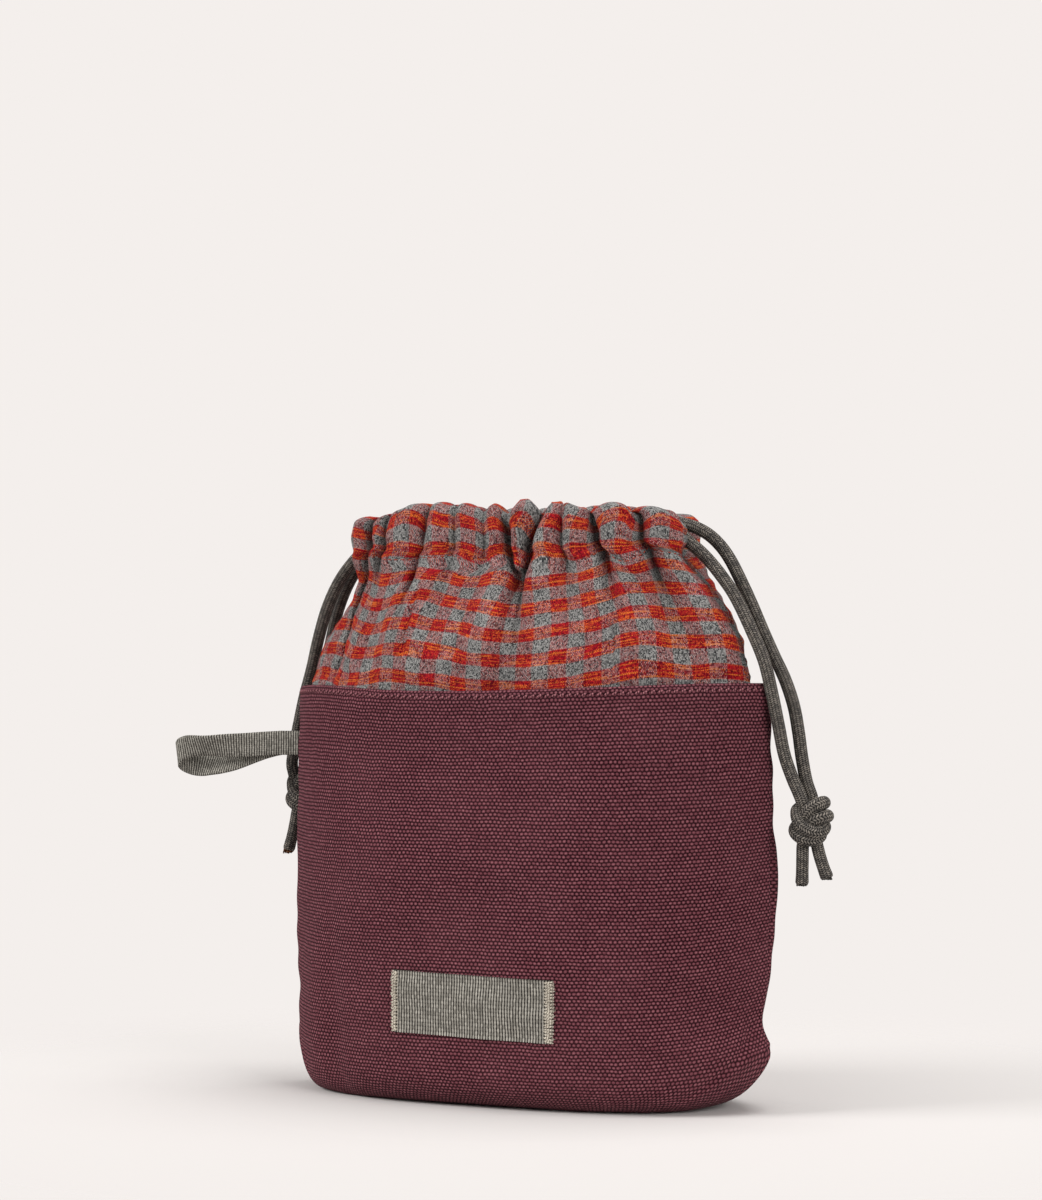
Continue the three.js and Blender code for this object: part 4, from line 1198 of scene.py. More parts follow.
@dataclass
class GatheredCollar:
    """Gingham wall and cord casing, gathered from the full width at the rim to the drawn mouth.

    The cloth of each row is laid out evenly along the row's folded line, so that the check narrows on
    the sides of the folds and opens out on their crests.

    Attributes:
        collar_rows: Rows below the casing's stitch line.
        sag: How far the weft lines hang below their even height.
        flap: How far the front half's right end laps past the seam.
        end_taper: How much the left and right end of the mouth draw in.
        casing_out, casing_in, casing_floor: Its walls and deepest valley, from the cords' line.
    """

    finish: GinghamFinish
    thread: ThreadFinish
    columns: int = 470
    collar_rows: int = 54
    flat_extra: float = 1.0
    seed: int = 21
    rim_half_width: float = 97.6
    rim_half_depth: float = 39.6
    sag: float = 7.0
    flap: float = 4.4
    end_taper: tuple[float, float] = (3.6, 1.6)
    casing_height: float = 16.8
    casing_out: float = 6.1
    casing_in: float = -4.3
    casing_floor: float = 3.1
    stitch_pitch: float = 2.9

    VALLEYS = (
        Valley(-61.0, -3.2, 9.0, lean=-1.0, top=-0.6, gap=0.9), Valley(-52.5, -0.6, 10.0, gap=0.4),
        Valley(-34.0, 0.2, 26.0, lean=3.0, under=-2.6, gap=0.5), Valley(-18.5, 1.0, 12.0),
        Valley(-5.0, 0.9, 14.0), Valley(5.4, -3.6, 30.0, lean=-2.0, join=4.2, under=-5.2, top=0.8, gap=1.4),
        Valley(13.6, -3.6, 40.0, lean=10.0, join=-2.8, under=-5.2, gap=1.3), Valley(29.5, 0.2, 12.0),
        Valley(44.5, -3.6, 19.0, lean=-3.0, under=-2.8, gap=1.2), Valley(62.5, -3.8, 11.0, gap=1.2),
    )
    # Share of the collar's height, and mm that the left end lies further in there
    LEFT_TAKE = ((0.0, 0.1, 0.2, 0.52, 0.72, 0.85, 0.95, 1.0), (0.4, 2.2, 3.8, 5.8, 6.6, 6.2, 2.4, 0.6))
    # X along the casing's top edge, and mm that the edge rises there
    TOP_LINE = ((-70.0, -56.0, -49.0, -40.0, -25.0, -13.0, -5.0, 6.5, 26.0, 37.0, 54.0, 64.0),
                (-1.6, -1.0, -2.0, 1.2, 0.5, 0.8, -0.8, 1.8, 0.8, -1.6, -0.6, -2.0))
    # Small tucks: share of the width, lowest and highest z, and depth
    TUCKS = ((0.33, 172.0, 206.0, 1.6), (0.74, 166.0, 190.0, 1.1), (0.115, 164.0, 212.0, 1.8))
    # Share of the collar's height, and share of the way in from the rim to the mouth
    LEVELS = ((-0.07, 0.0, 0.1, 0.28, 0.47, 0.66, 0.82, 0.93, 1.0),
              (0.0, 0.0, 0.0, 0.05, 0.17, 0.4, 0.65, 0.87, 1.0))

    def way_in(self, up: float) -> float:
        """Share of the way from the rim's line to the mouth's, at a share of the collar's height."""
        around = up + np.linspace(-0.05, 0.05, 9)
        return float(np.mean(np.interp(around, *self.LEVELS)))

    def rim_line(self) -> Array:
        """Plan line of the cloth where it leaves the rim."""
        oval = SIZES.half_oval(self.rim_half_width, self.rim_half_depth, SIZES.rim_fullness, SIZES.rim_pinch)
        return at_shares(oval, EVEN_SHARES)

    def valleys(self, half: Half) -> Sequence[Valley]:
        """The valleys of a half of the mouth, from left to right.

        Args:
            half: The front half, placed one by one, or the back half, placed by chance.

        Returns:
            The valleys.
        """
        if half is Half.FRONT:
            return self.VALLEYS
        rng = np.random.default_rng(self.seed)
        made, at = [], -60.0
        while at < 62.0:
            deep = rng.uniform() < 0.6
            level = rng.uniform(-3.0, -0.6) if deep else rng.uniform(0.6, 1.6)
            last = rng.uniform(14.0, 34.0) if deep else 12.0
            made.append(Valley(at, level, last, lean=rng.uniform(-2.0, 2.0)))
            at += rng.uniform(8.5, 17.5)
        return made

    def row(self, line: Array, flat: float, above: float, valleys: Sequence[Valley],
            floor: float) -> tuple[Array, Array, Array]:
        """One gathered row of cloth along a plan line.

        Between two valleys the cloth puffs out as (4 f (1 - f))^p, f the share of the way between them;
        p is small, so the lobe round and its valleys steep, where the valleys are deep.

        Args:
            line: Plan line that the row follows.
            flat: Flat width of the cloth.
            above: Height in mm above the casing's stitch line.
            valleys: The half's valleys, from left to right.
            floor: The furthest that a valley goes in, in mm inward of the line.

        Returns:
            Shares of the plan line's length, mm outward from it, and the painted shade for lying deep in a
            fold, for each column.
        """
        below = max(-above, 0.0)
        shares = np.linspace(0.0, 1.0, 1801)
        flat_u = shares * flat
        mouth = SIZES.half_mouth(5.6)
        run = lengths_along(mouth)
        places = [valley.place(above) for valley in valleys]
        centres = np.concatenate([[0.0], np.interp(places, mouth[:, 0], run) / run[-1], [1.0]])
        fade = np.exp(-(below / np.array([14.0, *[valley.last for valley in valleys], 14.0])) ** 1.3)
        level = np.array([0.0, *[valley.height(above) for valley in valleys], 0.0]) * fade
        gap = np.array([0.0, *[valley.gap for valley in valleys], 0.0])
        drift = 0.07 * below * ripple(flat_u, 3.0, 60.0, self.seed + 90)
        index = np.interp(shares + drift / flat, centres, np.arange(len(centres)))
        left = np.clip(index.astype(int), 0, len(centres) - 2)
        width = np.diff(centres)[left] * run[-1]
        room = np.maximum(width - gap[left] - gap[left + 1], 0.4)
        part = np.clip(((index - left) * width - gap[left]) / room, 0.0, 1.0)
        crest = (7.6 * (1.0 - np.exp(-width / 8.0)) - 2.2) * 0.5 * (fade[left] + fade[left + 1])
        low = level[left] * (1.0 - part) + level[left + 1] * part
        deep = np.clip((crest - low) / 6.0, 0.0, 1.0)
        puff = (4.0 * part * (1.0 - part)) ** (1.15 - 0.6 * deep)
        out = low + (crest - low) * puff
        # Painted shade that the cloth takes deep in a valley, none on the lobes.
        shade = deep * np.clip(1.0 - puff / 0.8, 0.0, 1.0)
        out = softened(out * (1.0 + 0.4 * float(hump(below, 9.0, 8.0)) * (out < 0.0)), 19)
        wide = 2.0 * (1.0 - math.exp(-below / 14.0)) * float(smooth((58.0 - below) / 30.0))
        out = out + wide * ripple(flat_u, below * 0.35, 31.0, self.seed + 91)
        span = lengths_along(line)[-1]
        edge = np.minimum(shares, 1.0 - shares) * span
        out = out * smooth(edge / 5.0) * (0.6 + 0.4 * smooth(edge / 20.0))
        if floor < 12.0:
            out = held_above(out, floor, 1.8)
        folded = lengths_along(np.column_stack([shares * span, out]))
        even = np.linspace(0.0, folded[-1], self.columns)
        return np.interp(even, folded, shares), np.interp(even, folded, out), np.interp(even, folded, shade)

    def levels(self) -> list[tuple[float, float, float, float, float]]:
        """The rows up the collar, up the casing's outer wall, over its top edge and down inside.

        Returns:
            Each row's height, way in, offset from the cords' line, deepest valley, and slit's half width.
        """
        s = SIZES
        out, inner, low = self.casing_out, self.casing_in, self.casing_floor
        stitch_z, tall = s.axis + s.collar, self.casing_height
        rows = [(s.axis + s.collar * up, self.way_in(up), out + 0.1, low + 0.1 + 30.0 * (1.0 - up), 0.0)
                for up in np.linspace(-0.06, 0.985, self.collar_rows)]
        rows.append((stitch_z, 1.0, out, low, 0.0))
        for t in np.linspace(0.05, 1.0, 16):
            swell = math.sin(math.pi * min(t * 0.8 + 0.06, 1.0)) ** 0.8
            rows.append((stitch_z + tall * t, 1.0, out + swell, low + swell, out * float(smooth(t / 0.22))))
        outer = rows[-1][2]
        for angle in np.radians(np.linspace(14.0, 166.0, 12)):
            share = 0.5 - 0.5 * math.cos(angle)
            height = stitch_z + tall + 3.1 * math.sin(angle) ** 0.8
            rows.append((height, 1.0, outer + (inner - outer) * share, 4.0 - 2.4 * share, out))
        for t in np.linspace(1.0, 0.0, 10):
            rows.append((stitch_z + tall * t, 1.0, inner + 1.2 * (1.0 - t), 1.4, out))
        return rows

    def lay(self, half: Half) -> tuple[Array, Array, Array]:
        """Points and flat-cloth coordinates of one half.

        Args:
            half: Which half; both are laid as the front one, and the back one is then turned round.

        Returns:
            Points by row and column, their coordinates, and the painted shade that they take for lying deep
            in a fold.
        """
        s = SIZES
        rim = self.rim_line()
        flat = lengths_along(rim)[-1] + self.flat_extra
        valleys = self.valleys(half)
        stitch_z = s.axis + s.collar
        rows = self.levels()
        points = np.zeros((len(rows), self.columns, 3))
        cloth = np.zeros((len(rows), self.columns, 2))
        relief = np.zeros((len(rows), self.columns))
        depth = np.zeros((len(rows), self.columns))
        flat_u = np.linspace(0.0, flat, self.columns)
        climb = 0.0
        for r, (z, way, offset, floor, slit) in enumerate(rows):
            line = rim + way * (s.half_mouth(offset) - rim)
            if slit > 0.0:
                share = slit / lengths_along(line)[-1]
                line = at_shares(line, share + (1.0 - 2.0 * share) * EVEN_SHARES)
            shares, out, shade = self.row(line, flat, z - stitch_z, valleys, floor)
            # Painted fold shade, on the outer face only.
            depth[r] = shade * (offset > 0.0)
            place = at_shares(line, shares)
            normal = np.stack([np.interp(shares, EVEN_SHARES, axis) for axis in outward(line).T], axis=-1)
            out = out * (0.3 + 0.7 * float(smooth((offset - self.casing_in) / 8.0)))
            fine = 0.34 * float(smooth((z - s.axis) / 8.0))
            out = out + fine * ripple(flat_u, climb * 1.5, 11.0, 31 + half.value)
            out = out + 0.6 * float(smooth(1.6 - 1.5 * way)) * ripple(flat_u, climb, 38.0, 33 + half.value)
            taper = np.where(place[:, 0] < 0.0, *self.end_taper)
            out = out - taper * way * smooth((np.abs(place[:, 0]) - 46.0) / 18.0) * (offset > 0.0)
            take = float(np.interp((z - s.axis) / s.collar, *self.LEFT_TAKE))
            out = out - take * smooth((-place[:, 0] - 34.0) / 40.0)
            pucker = 0.5 * ripple(3.0, climb, 7.0, 37 + half.value) * (1.0 - way * 0.7)
            relief[r] = out + pucker * hump(np.minimum(flat_u, flat - flat_u), 3.0, 5.0)
            points[r, :, :2] = place + relief[r][:, None] * normal
            points[r, :, 2] = z
            if r:
                climb += float(np.median(np.linalg.norm(points[r] - points[r - 1], axis=1)))
            cloth[r] = np.column_stack([flat_u, np.full(self.columns, climb)])
        height = points[..., 2]
        reach = smooth((11.0 - (flat - flat_u)) / 11.0) * smooth((height - stitch_z + 2.0) / 7.0)
        offsets = np.array([row[2] for row in rows])[:, None]
        outer = offsets > 0.0
        if half is Half.BACK:
            points[..., 0] -= 3.4 * reach * outer
        else:
            points[..., 0] += self.flap * reach * outer
            points[..., 1] -= 1.6 * np.sin(math.pi * reach) * outer
            drop = 3.2 * reach ** 2 * smooth((offsets - 1.0) / 5.0)
            height -= drop * smooth((height - stitch_z - 6.0) / 10.0)
        crest_row = self.collar_rows + 8
        crest, across = relief[crest_row], points[crest_row, :, 0]
        uneven = 0.5 * ripple(flat_u, 0.0, 12.0, 41) - 0.75 * np.maximum(2.6 - crest, 0.0)
        if half is Half.FRONT:
            uneven = uneven + np.interp(across, *self.TOP_LINE) - 2.4 * hump(across, 15.5, 2.4)
        else:
            uneven = uneven + 0.6 - 4.4 * smooth((np.abs(across) - 42.0) / 22.0)
        height += held_above(uneven, 3.9, 2.0) * smooth((height - stitch_z - 2.0) / 15.0)
        dip = 0.9 * ripple(flat_u, 5.0, 24.0, 43) - 0.3 * crest
        height += dip * hump(height, stitch_z, 9.0)
        points[..., 1] = np.minimum(points[..., 1], -0.15)
        cloth[..., 1] += self.drape(flat_u, flat, height, relief)
        share = flat_u / flat + 0.012 * ripple(height, 2.0, 40.0, 57)
        for place_share, low, high, deep in self.TUCKS:
            beside = (share - place_share) * flat
            span = smooth((height - low) / 8.0) * smooth((high - height) / 8.0)
            points[..., 1] += deep * hump(beside, 0.0, 1.5) * span
            cloth[..., 1] -= 1.2 * deep * smooth(beside / 1.5 + 0.5) * span * smooth(1.0 - beside / 30.0)
        if half is Half.BACK:
            points[..., 1] *= -1.0
            points, depth = points[:, ::-1], depth[:, ::-1]
            cloth = cloth[:, ::-1] * (-1.0, 1.0) - (7.0, 3.0)
        return points, cloth, depth

    def drape(self, flat_u: Array, flat: float, z: Array, relief: Array) -> Array:
        """How far the weft lines sag below their even height, as a shift of the cloth's coordinate.

        Args:
            flat_u: Mm along the flat cloth, for each column.
            flat: Its whole width.
            z: Height of each point.
            relief: How far each point stands out.

        Returns:
            Mm for each point.
        """
        below = SIZES.axis + SIZES.collar - z
        free = 0.3 + 0.7 * smooth((below + 6.0) / 16.0) - 0.45 * smooth((below - 22.0) / 34.0)
        middle = hump(flat_u, flat * 0.56, 34.0) - 0.5 * hump(flat_u, flat * 0.84, 26.0)
        wander = 0.22 * ripple(flat_u, z * 0.5, 42.0, 47)
        fine = 0.35 * ripple(flat_u, z * 0.7, 17.0, 49)
        bowed = 0.1 + 0.3 * smooth((6.0 - below) / 8.0)
        return free * self.sag * (middle + wander) + fine - bowed * relief

    def build(self) -> list[Piece]:
        """Makes both halves and the thread along the casing's lower edge."""
        made: list[Piece] = []
        material, thread = self.finish.build(), self.thread.build()
        for half in Half:
            points, cloth, depth = self.lay(half)
            piece = grid_piece(f"gathered_cloth_{half.label}", points[:, ::-1], cloth[:, ::-1], material)
            # The painted fold shade goes on the mesh as an attribute that darkens the gingham.
            folds = piece.data.attributes.new("fold_depth", "FLOAT", "POINT")
            folds.data.foreach_set("value", depth[:, ::-1].ravel())
            thicken(piece)
            dress(piece, None, self.finish, f"collar_{half.label}", f"casing_{half.label}")
            blend_halves(piece)
            flat = (float(np.ptp(cloth[0, :, 0])) * MM, float(np.ptp(cloth[:, 0, 1])) * MM)
            seam = points[self.collar_rows - 1:self.collar_rows + 2]
            made.extend([piece, self.seam_thread(half, seam, thread)])
        return made

    def seam_thread(self, half: Half, rows: Array, material: bpy.types.Material) -> Piece:
        """Fine stitches that follow the folds along the casing's lower edge.

        Args:
            half: The half of the mouth.
            rows: Points of the rows under, on and above the stitch line.
            material: The thread's.

        Returns:
            The piece of thread.
        """
        under, row, above = rows
        run = lengths_along(row)
        normal = np.cross(np.gradient(row, axis=0), above - under)
        normal /= np.linalg.norm(normal, axis=1, keepdims=True) + 1e-9
        normal *= np.median(np.sign(np.sum(normal * row * (1.0, 1.0, 0.0), axis=1))) or 1.0
        count = int(run[-1] / self.stitch_pitch)
        k = np.arange(count)
        starts, ends = at_shares(row, (k + 0.15) / count), at_shares(row, (k + 0.85) / count)
        facing = np.stack([np.interp((k + 0.5) / count * run[-1], run, axis) for axis in normal.T], axis=-1)
        facing /= np.linalg.norm(facing, axis=1, keepdims=True) + 1e-9
        lift = 0.25 * facing
        parts = [thread_stitch(*stitch, 0.2, 0.36) for stitch in zip(starts + lift, ends + lift, facing)]
        piece = new_piece(f"casing_stitching_{half.label}", joined(parts), material)
        dress(piece, None, self.thread)
        blend_halves(piece)
        return piece


# Lining

@dataclass
class Lining:
    """Gingham lining inside the canvas, from the collar's seam down to the base."""

    finish: GinghamFinish
    tub: CanvasTub

    def build(self) -> Piece:
        """Makes the lining as a thin open cup."""
        s, ring = SIZES, self.tub.ring
        inset = s.canvas + 0.3
        rings = [ring(z, 0.0, s.hem + 0.3, seamed=False) for z in (155.0, 153.0, 151.5)]
        rings += [ring(float(z), 0.0, inset, seamed=False) for z in np.linspace(149.0, s.radius_front, 34)]
        rings += self.tub.rounding(inset, np.linspace(10.0, 90.0, 9))
        rings += [rings[-1] * (share, share, 1.0) for share in (0.75, 0.5, 0.25, 0.02)]
        points = np.stack(rings)
        x, y, z = points[..., 0], points[..., 1], points[..., 2]
        crumple = 0.35 * ripple(np.arctan2(y, x) * 60.0, z, 16.0, 51)
        inward = (0.5 * crumple + 0.4) * smooth((z - 12.0) / 12.0)
        points[..., :2] -= inward[..., None] * np.sign(points[..., :2])
        rows, columns = points.shape[:2]
        faces = grid_faces(rows, columns, around=True)
        pair = unrolled(points, faces, 5, -1.0)
        on_base = (faces[:, 0] // columns) >= rows - 5
        pair[on_base] = points.reshape(-1, 3)[faces[on_base]][..., :2]
        skin = (points.reshape(-1, 3), faces, pair.reshape(-1, 2))
        piece = new_piece("lining_cloth", skin, self.finish.build())
        thicken(piece)
        return dress(piece, "bag", self.finish, "lining")


# Drawcords


# Middle line of each free run, from the slot to the knot
ROUTES: dict[str, tuple[tuple[float, float, float], ...]] = {
    "right_front": (
        (63.8, -6.7, 226.8), (63.9, -6.1, 226.8), (64.9, -4.8, 226.6), (66.8, -3.7, 225.6),
        (68.8, -3.3, 223.5), (71.2, -3.2, 220.8), (74.4, -3.2, 217.9), (78.4, -3.3, 214.6),
        (82.8, -3.6, 210.3), (87.6, -3.8, 204.6), (92.6, -4, 197.7), (99.6, -4, 184),
        (104.6, -3.6, 172), (107.5, -3.2, 160), (110, -3, 148), (112.4, -2.6, 136), (115.6, -2, 126.8),
        (117.6, -1.9, 122.4), (118.8, -1.9, 119.6)),
    "right_back": (
        (63.8, 6.7, 226.8), (63.8, 6.1, 226.8), (64.8, 4.6, 226.7), (66.7, 3.4, 226.4),
        (69.8, 2.9, 225.8), (74.2, 2.8, 224.4), (79.6, 2.9, 221.4), (84.6, 3, 216.7), (88.4, 3, 211.4),
        (92.4, 3, 203.9), (96.9, 3, 194.6), (101.4, 3, 184.5), (106, 3, 174.6), (110.6, 3, 165.2),
        (114.2, 2.8, 155), (116.2, 2.6, 144.8), (117.6, 2.3, 135.4), (119.6, 1.9, 126),
        (121.6, 1.9, 120.4)),
    "left_front": (
        (-63.8, -6.7, 220.3), (-63.8, -6.1, 220.3), (-64.8, -4.6, 220.2), (-66.7, -3.2, 219.8),
        (-69.4, -2.6, 218.3), (-76, -2, 212.5), (-82.4, -0.6, 205.5), (-89, 1.4, 195),
        (-94.8, 4.2, 182), (-99.6, 7.4, 170), (-104.6, 10, 158), (-108.8, 12.4, 146), (-112, 14.6, 137),
        (-113.9, 16.1, 130.8), (-113.9, 16.1, 128.8)),
    "left_back": (
        (-63.8, 6.7, 220.3), (-63.8, 6.1, 220.3), (-64.8, 4.8, 220.2), (-66.7, 3.8, 219.8),
        (-69.4, 3.7, 218.5), (-75.6, 4.6, 212.5), (-81.6, 6, 205), (-87.6, 8.6, 195),
        (-92.6, 11.4, 182), (-97, 14.4, 170), (-101.2, 17, 158), (-104.8, 19, 146), (-107.6, 20, 137),
        (-110.1, 19.9, 130.8), (-110.1, 19.9, 128.8)),
}


@dataclass
class Drawcord:
    """One drawcord: two runs inside the casing, two free runs, a knot and two cut tails.

    Attributes:
        track: Height at which it runs in the casing.
        tail_start, tail_lean, tail_length: Of the front and the back tail, mm right at the knot, mm
            further right at the cut end, and length.
        slot_y: Where the stretch in the slot starts and ends, from the middle of the mouth.
        slot_length, exit_length: Mm along the route where the casing's run ends and the free run begins.
        slot_stretch: How many times its length that stretch reaches when the mouth is open.
    """

    side: Side
    finish: BraidFinish
    cut: BraidFinish
    knot_centre: tuple[float, float, float]
    track: float
    knot_shift: float = 0.0
    knot_width: float = 1.0
    tail_start: tuple[float, float] = (-3.1, 1.6)
    tail_lean: tuple[float, float] = (-0.4, 4.6)
    tail_length: tuple[float, float] = (19.0, 16.6)
    fray: float = 0.7
    sides: int = 20
    slot_y: tuple[float, float] = (6.9, 5.3)
    slot_length: float = 1.0
    exit_length: float = 7.5
    slot_stretch: float = 6.0

    # Both cords of the knot: mm right, up and towards the camera from its centre
    STRANDS = (
        ((-1.4, 0.4, 0.8), (-2.2, 2.2, 2.6), (-1, 4.5, 3.9), (1.6, 6.3, 4), (4, 7.1, 2.3),
         (5, 7.1, -0.2), (3.8, 6.5, -3), (0.2, 5.1, -4.4), (-3.2, 4.9, -3.3), (-5, 4.2, -0.9),
         (-5.3, 1.8, 1.6), (-4.3, -1, 3.7), (-1.9, -3, 5), (1, -3.9, 5.1), (3.7, -3.4, 3.6),
         (5, -2.1, 1.1), (4.6, -1.4, -1.5), (2.4, -1.3, -3)),
        ((0.2, -1.8, 0.8), (-0.2, -0.6, 2.4), (1, 0.9, 4.1), (3.4, 1.7, 4.3), (5.6, 2.1, 2.3),
         (6.2, 2, -0.4), (4.8, 1.4, -3.4), (1, 0.3, -5.1), (-3.2, -1.1, -4.3), (-5.5, -2.4, -1.8),
         (-6, -3.8, 0.6), (-5.1, -5.2, 2.4), (-2.9, -6.4, 3.6), (0, -6.8, 3.6), (2.6, -5.9, 2.3),
         (3.5, -4.9, 0.2), (2.4, -4, -1.6)),
    )

    def in_casing(self, half: Half, route: Array) -> Piece:
        """The run inside one half of the casing, which overlaps the other half's run at its far end.

        Args:
            half: The half of the mouth.
            route: The free run's route, evenly spaced.

        Returns:
            The piece.
        """
        line = SIZES.half_mouth(0.0)[::self.side.value]
        line = at_shares(line, np.linspace(0.0, 1.0, 140))
        x, y = line[(np.abs(line[:, 1]) > self.slot_y[0]) | (np.arange(140) < 70)].T
        inside = np.column_stack([x, half.value * (y + 0.3 * (np.abs(y) < 0.2)), np.full(len(x), self.track)])
        out = points_at(route, np.linspace(0.4, self.slot_length, 4))
        centres = at_shares(np.vstack([inside, out]), np.linspace(0.0, 1.0, 150))
        radius = SIZES.cord_radius * (1.0 if half is Half.FRONT else 0.985)
        name = f"{self.side.label}_cord_in_{half.label}_casing"
        piece = new_piece(f"{name}_braid", sweep(centres, radius, self.sides), self.finish.build())
        dress(piece, None, self.finish, name)
        blend_halves(piece)
        return piece

    def in_slot(self, half: Half, route: Array) -> Piece:
        """The straight stretch in the slot, between the casing's run and the free run.

        Args:
            half: The half of the mouth.
            route: The free run's route, evenly spaced.

        Returns:
            The piece.
        """
        y = -half.value * np.linspace(*self.slot_y, 8)
        centres = np.column_stack([np.full(8, route[0, 0]), y, np.full(8, route[0, 2])])
        vertices, faces, uv = sweep(centres, SIZES.cord_radius * 0.97, self.sides)
        uv[:, 1] *= self.slot_stretch
        name = f"{self.side.label}_cord_{half.label}_slot_braid"
        piece = new_piece(name, (vertices, faces, uv), self.finish.build())
        dress(piece, None, self.finish)
        blend_halves(piece, *((-1.5, -9.3) if half is Half.FRONT else (9.3, 1.5)))
        return piece

    def bend(self, half: Half, route: Array) -> Piece:
        """The bend just outside the slot, which rides on the drawcord's body."""
        start = self.slot_length + 0.2
        places = np.linspace(start, self.exit_length + 0.5, 22)
        radii = SIZES.cord_radius * np.where(places > self.exit_length, 0.96, 1.0)
        skin = sweep(points_at(route, places), radii, self.sides, start - self.exit_length)
        piece = new_piece(f"{self.side.label}_cord_{half.label}_bend_braid", skin, self.finish.build())
        return dress(piece, f"{self.side.label}_drawcord", self.finish)

    def free_run(self, half: Half, route: Array, with_pieces: list[Piece]) -> Piece:
        """The free run, from the bend down to 8 mm inside the knot.

        Args:
            half: The half of the mouth that it comes from.
            route: Its route, evenly spaced.
            with_pieces: The pieces that hang on it; they are passed in but not attached to it.

        Returns:
            The piece.
        """
        s = SIZES
        run = lengths_along(route)[-1]
        places = np.linspace(self.exit_length, run + 8.0, 130)
        centres = points_at(route, np.minimum(places, run))
        past = np.clip(places - run, 0.0, None)
        inward = (np.array(self.knot_centre) - centres[-1])[:2] * 0.09
        centres += np.column_stack([past * inward[0], past * inward[1], -past])
        node = f"{self.side.label}_cord_{half.label}_run"
        piece = new_piece(f"{node}_braid", sweep(centres, s.cord_radius, self.sides), self.finish.build())
        dress(piece, None, self.finish, node)
        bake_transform(piece)
        length = float(lengths_along(centres)[-1]) * MM
        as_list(with_pieces)
        return piece

    @staticmethod
    def seen(right: Array | float, up: Array | float, toward: Array | float) -> Array:
        """Offsets of so many mm right, up and towards the photograph's camera."""
        angle = math.radians(VIEW_AZIMUTH)
        cosine, sine = math.cos(angle), math.sin(angle)
        parts = np.broadcast_arrays(right * cosine + toward * sine, right * sine - toward * cosine, up)
        return np.stack(parts, axis=-1)

    def strand(self, stops: Sequence[Sequence[float]]) -> Skin:
        """One cord of the knot, along a smooth curve through its stops."""
        right, up, toward = smooth_curve(stops, 110).T
        points = self.knot_centre + self.seen(self.knot_shift + right * self.knot_width, up, toward)
        return sweep(points, SIZES.cord_radius * 1.04, self.sides)

    def knot(self) -> Piece:
        """Overhand knot tied in both runs at once, so each wrap shows two cords side by side."""
        parts = [self.strand(stops) for stops in self.STRANDS]
        core = self.knot_centre + self.seen(0.0, np.linspace(-6.8, 8.0, 18), 0.0)
        bulk = 4.1 * np.sqrt(np.clip(1.0 - np.linspace(-0.98, 0.98, 18) ** 2, 0.02, 1.0))
        parts.append(sweep(core, bulk, self.sides))
        node = f"{self.side.label}_knot"
        piece = new_piece(f"{node}_wraps", joined(parts), self.finish.build())
        return dress(piece, node, self.finish, node)

    def tail(self, half: Half, offset: float, lean: float, length: float) -> Piece:
        """A short cut tail under the knot, a little flared at its cut end, and its cut fibres.

        Args:
            half: The half of the mouth that its run comes from.
            offset: Mm right of the knot's middle.
            lean: Mm further right at the cut end.
            length: Mm down from the knot.

        Returns:
            The tail.
        """
        t = np.linspace(0.0, 1.0, 26)
        start = self.knot_shift * 0.8 + offset * (0.6 + 0.4 * smooth(t / 0.35))
        right, down = start + lean * t ** 1.6, 3.0 + (length + 2.0) * t
        points = self.knot_centre + self.seen(right, -down, 0.8 * t - 0.6)
        radii = SIZES.cord_radius * (0.96 + 0.06 * smooth((t - 0.75) / 0.25))
        radii[-1] *= 0.86
        body, node = f"{self.side.label}_knot", f"{self.side.label}_tail_{half.label}"
        piece = new_piece(f"{node}_braid", sweep(points, radii, self.sides), self.finish.build())
        dress(piece, body, self.finish, node)
        rng = np.random.default_rng(66 if half is Half.FRONT else 65)
        fibres = []
        direction = points[-1] - points[-4]
        direction /= np.linalg.norm(direction)
        for _ in range(46):
            turn = rng.uniform(0.0, 2.0 * math.pi)
            reach = SIZES.cord_radius * 0.85 * math.sqrt(rng.uniform(0.0, 1.0))
            spot = points[-1] + self.seen(reach * math.cos(turn), 0.0, reach * math.sin(turn))
            tip = spot + direction * rng.uniform(0.35, 1.0) * self.fray
            fibres.append(sweep(np.linspace(spot - direction * 0.5, tip, 4), 0.3, 5))
        dress(new_piece(f"{node}_cut_end", joined(fibres), self.cut.build()), body, self.cut)
        return piece

    def build(self) -> list[Piece]:
        """Makes the whole drawcord."""
        made = [self.knot()]
        made += [self.tail(*sizes) for sizes in zip(Half, self.tail_start, self.tail_lean, self.tail_length)]
        for half in Half:
            route = smooth_curve(ROUTES[f"{self.side.label}_{half.label}"], 400)
            made += [self.in_casing(half, route), self.in_slot(half, route), self.bend(half, route)]
            made.append(self.free_run(half, route, made[:3] if half is Half.FRONT else made[:1]))
        return made


# Webbing loop and label

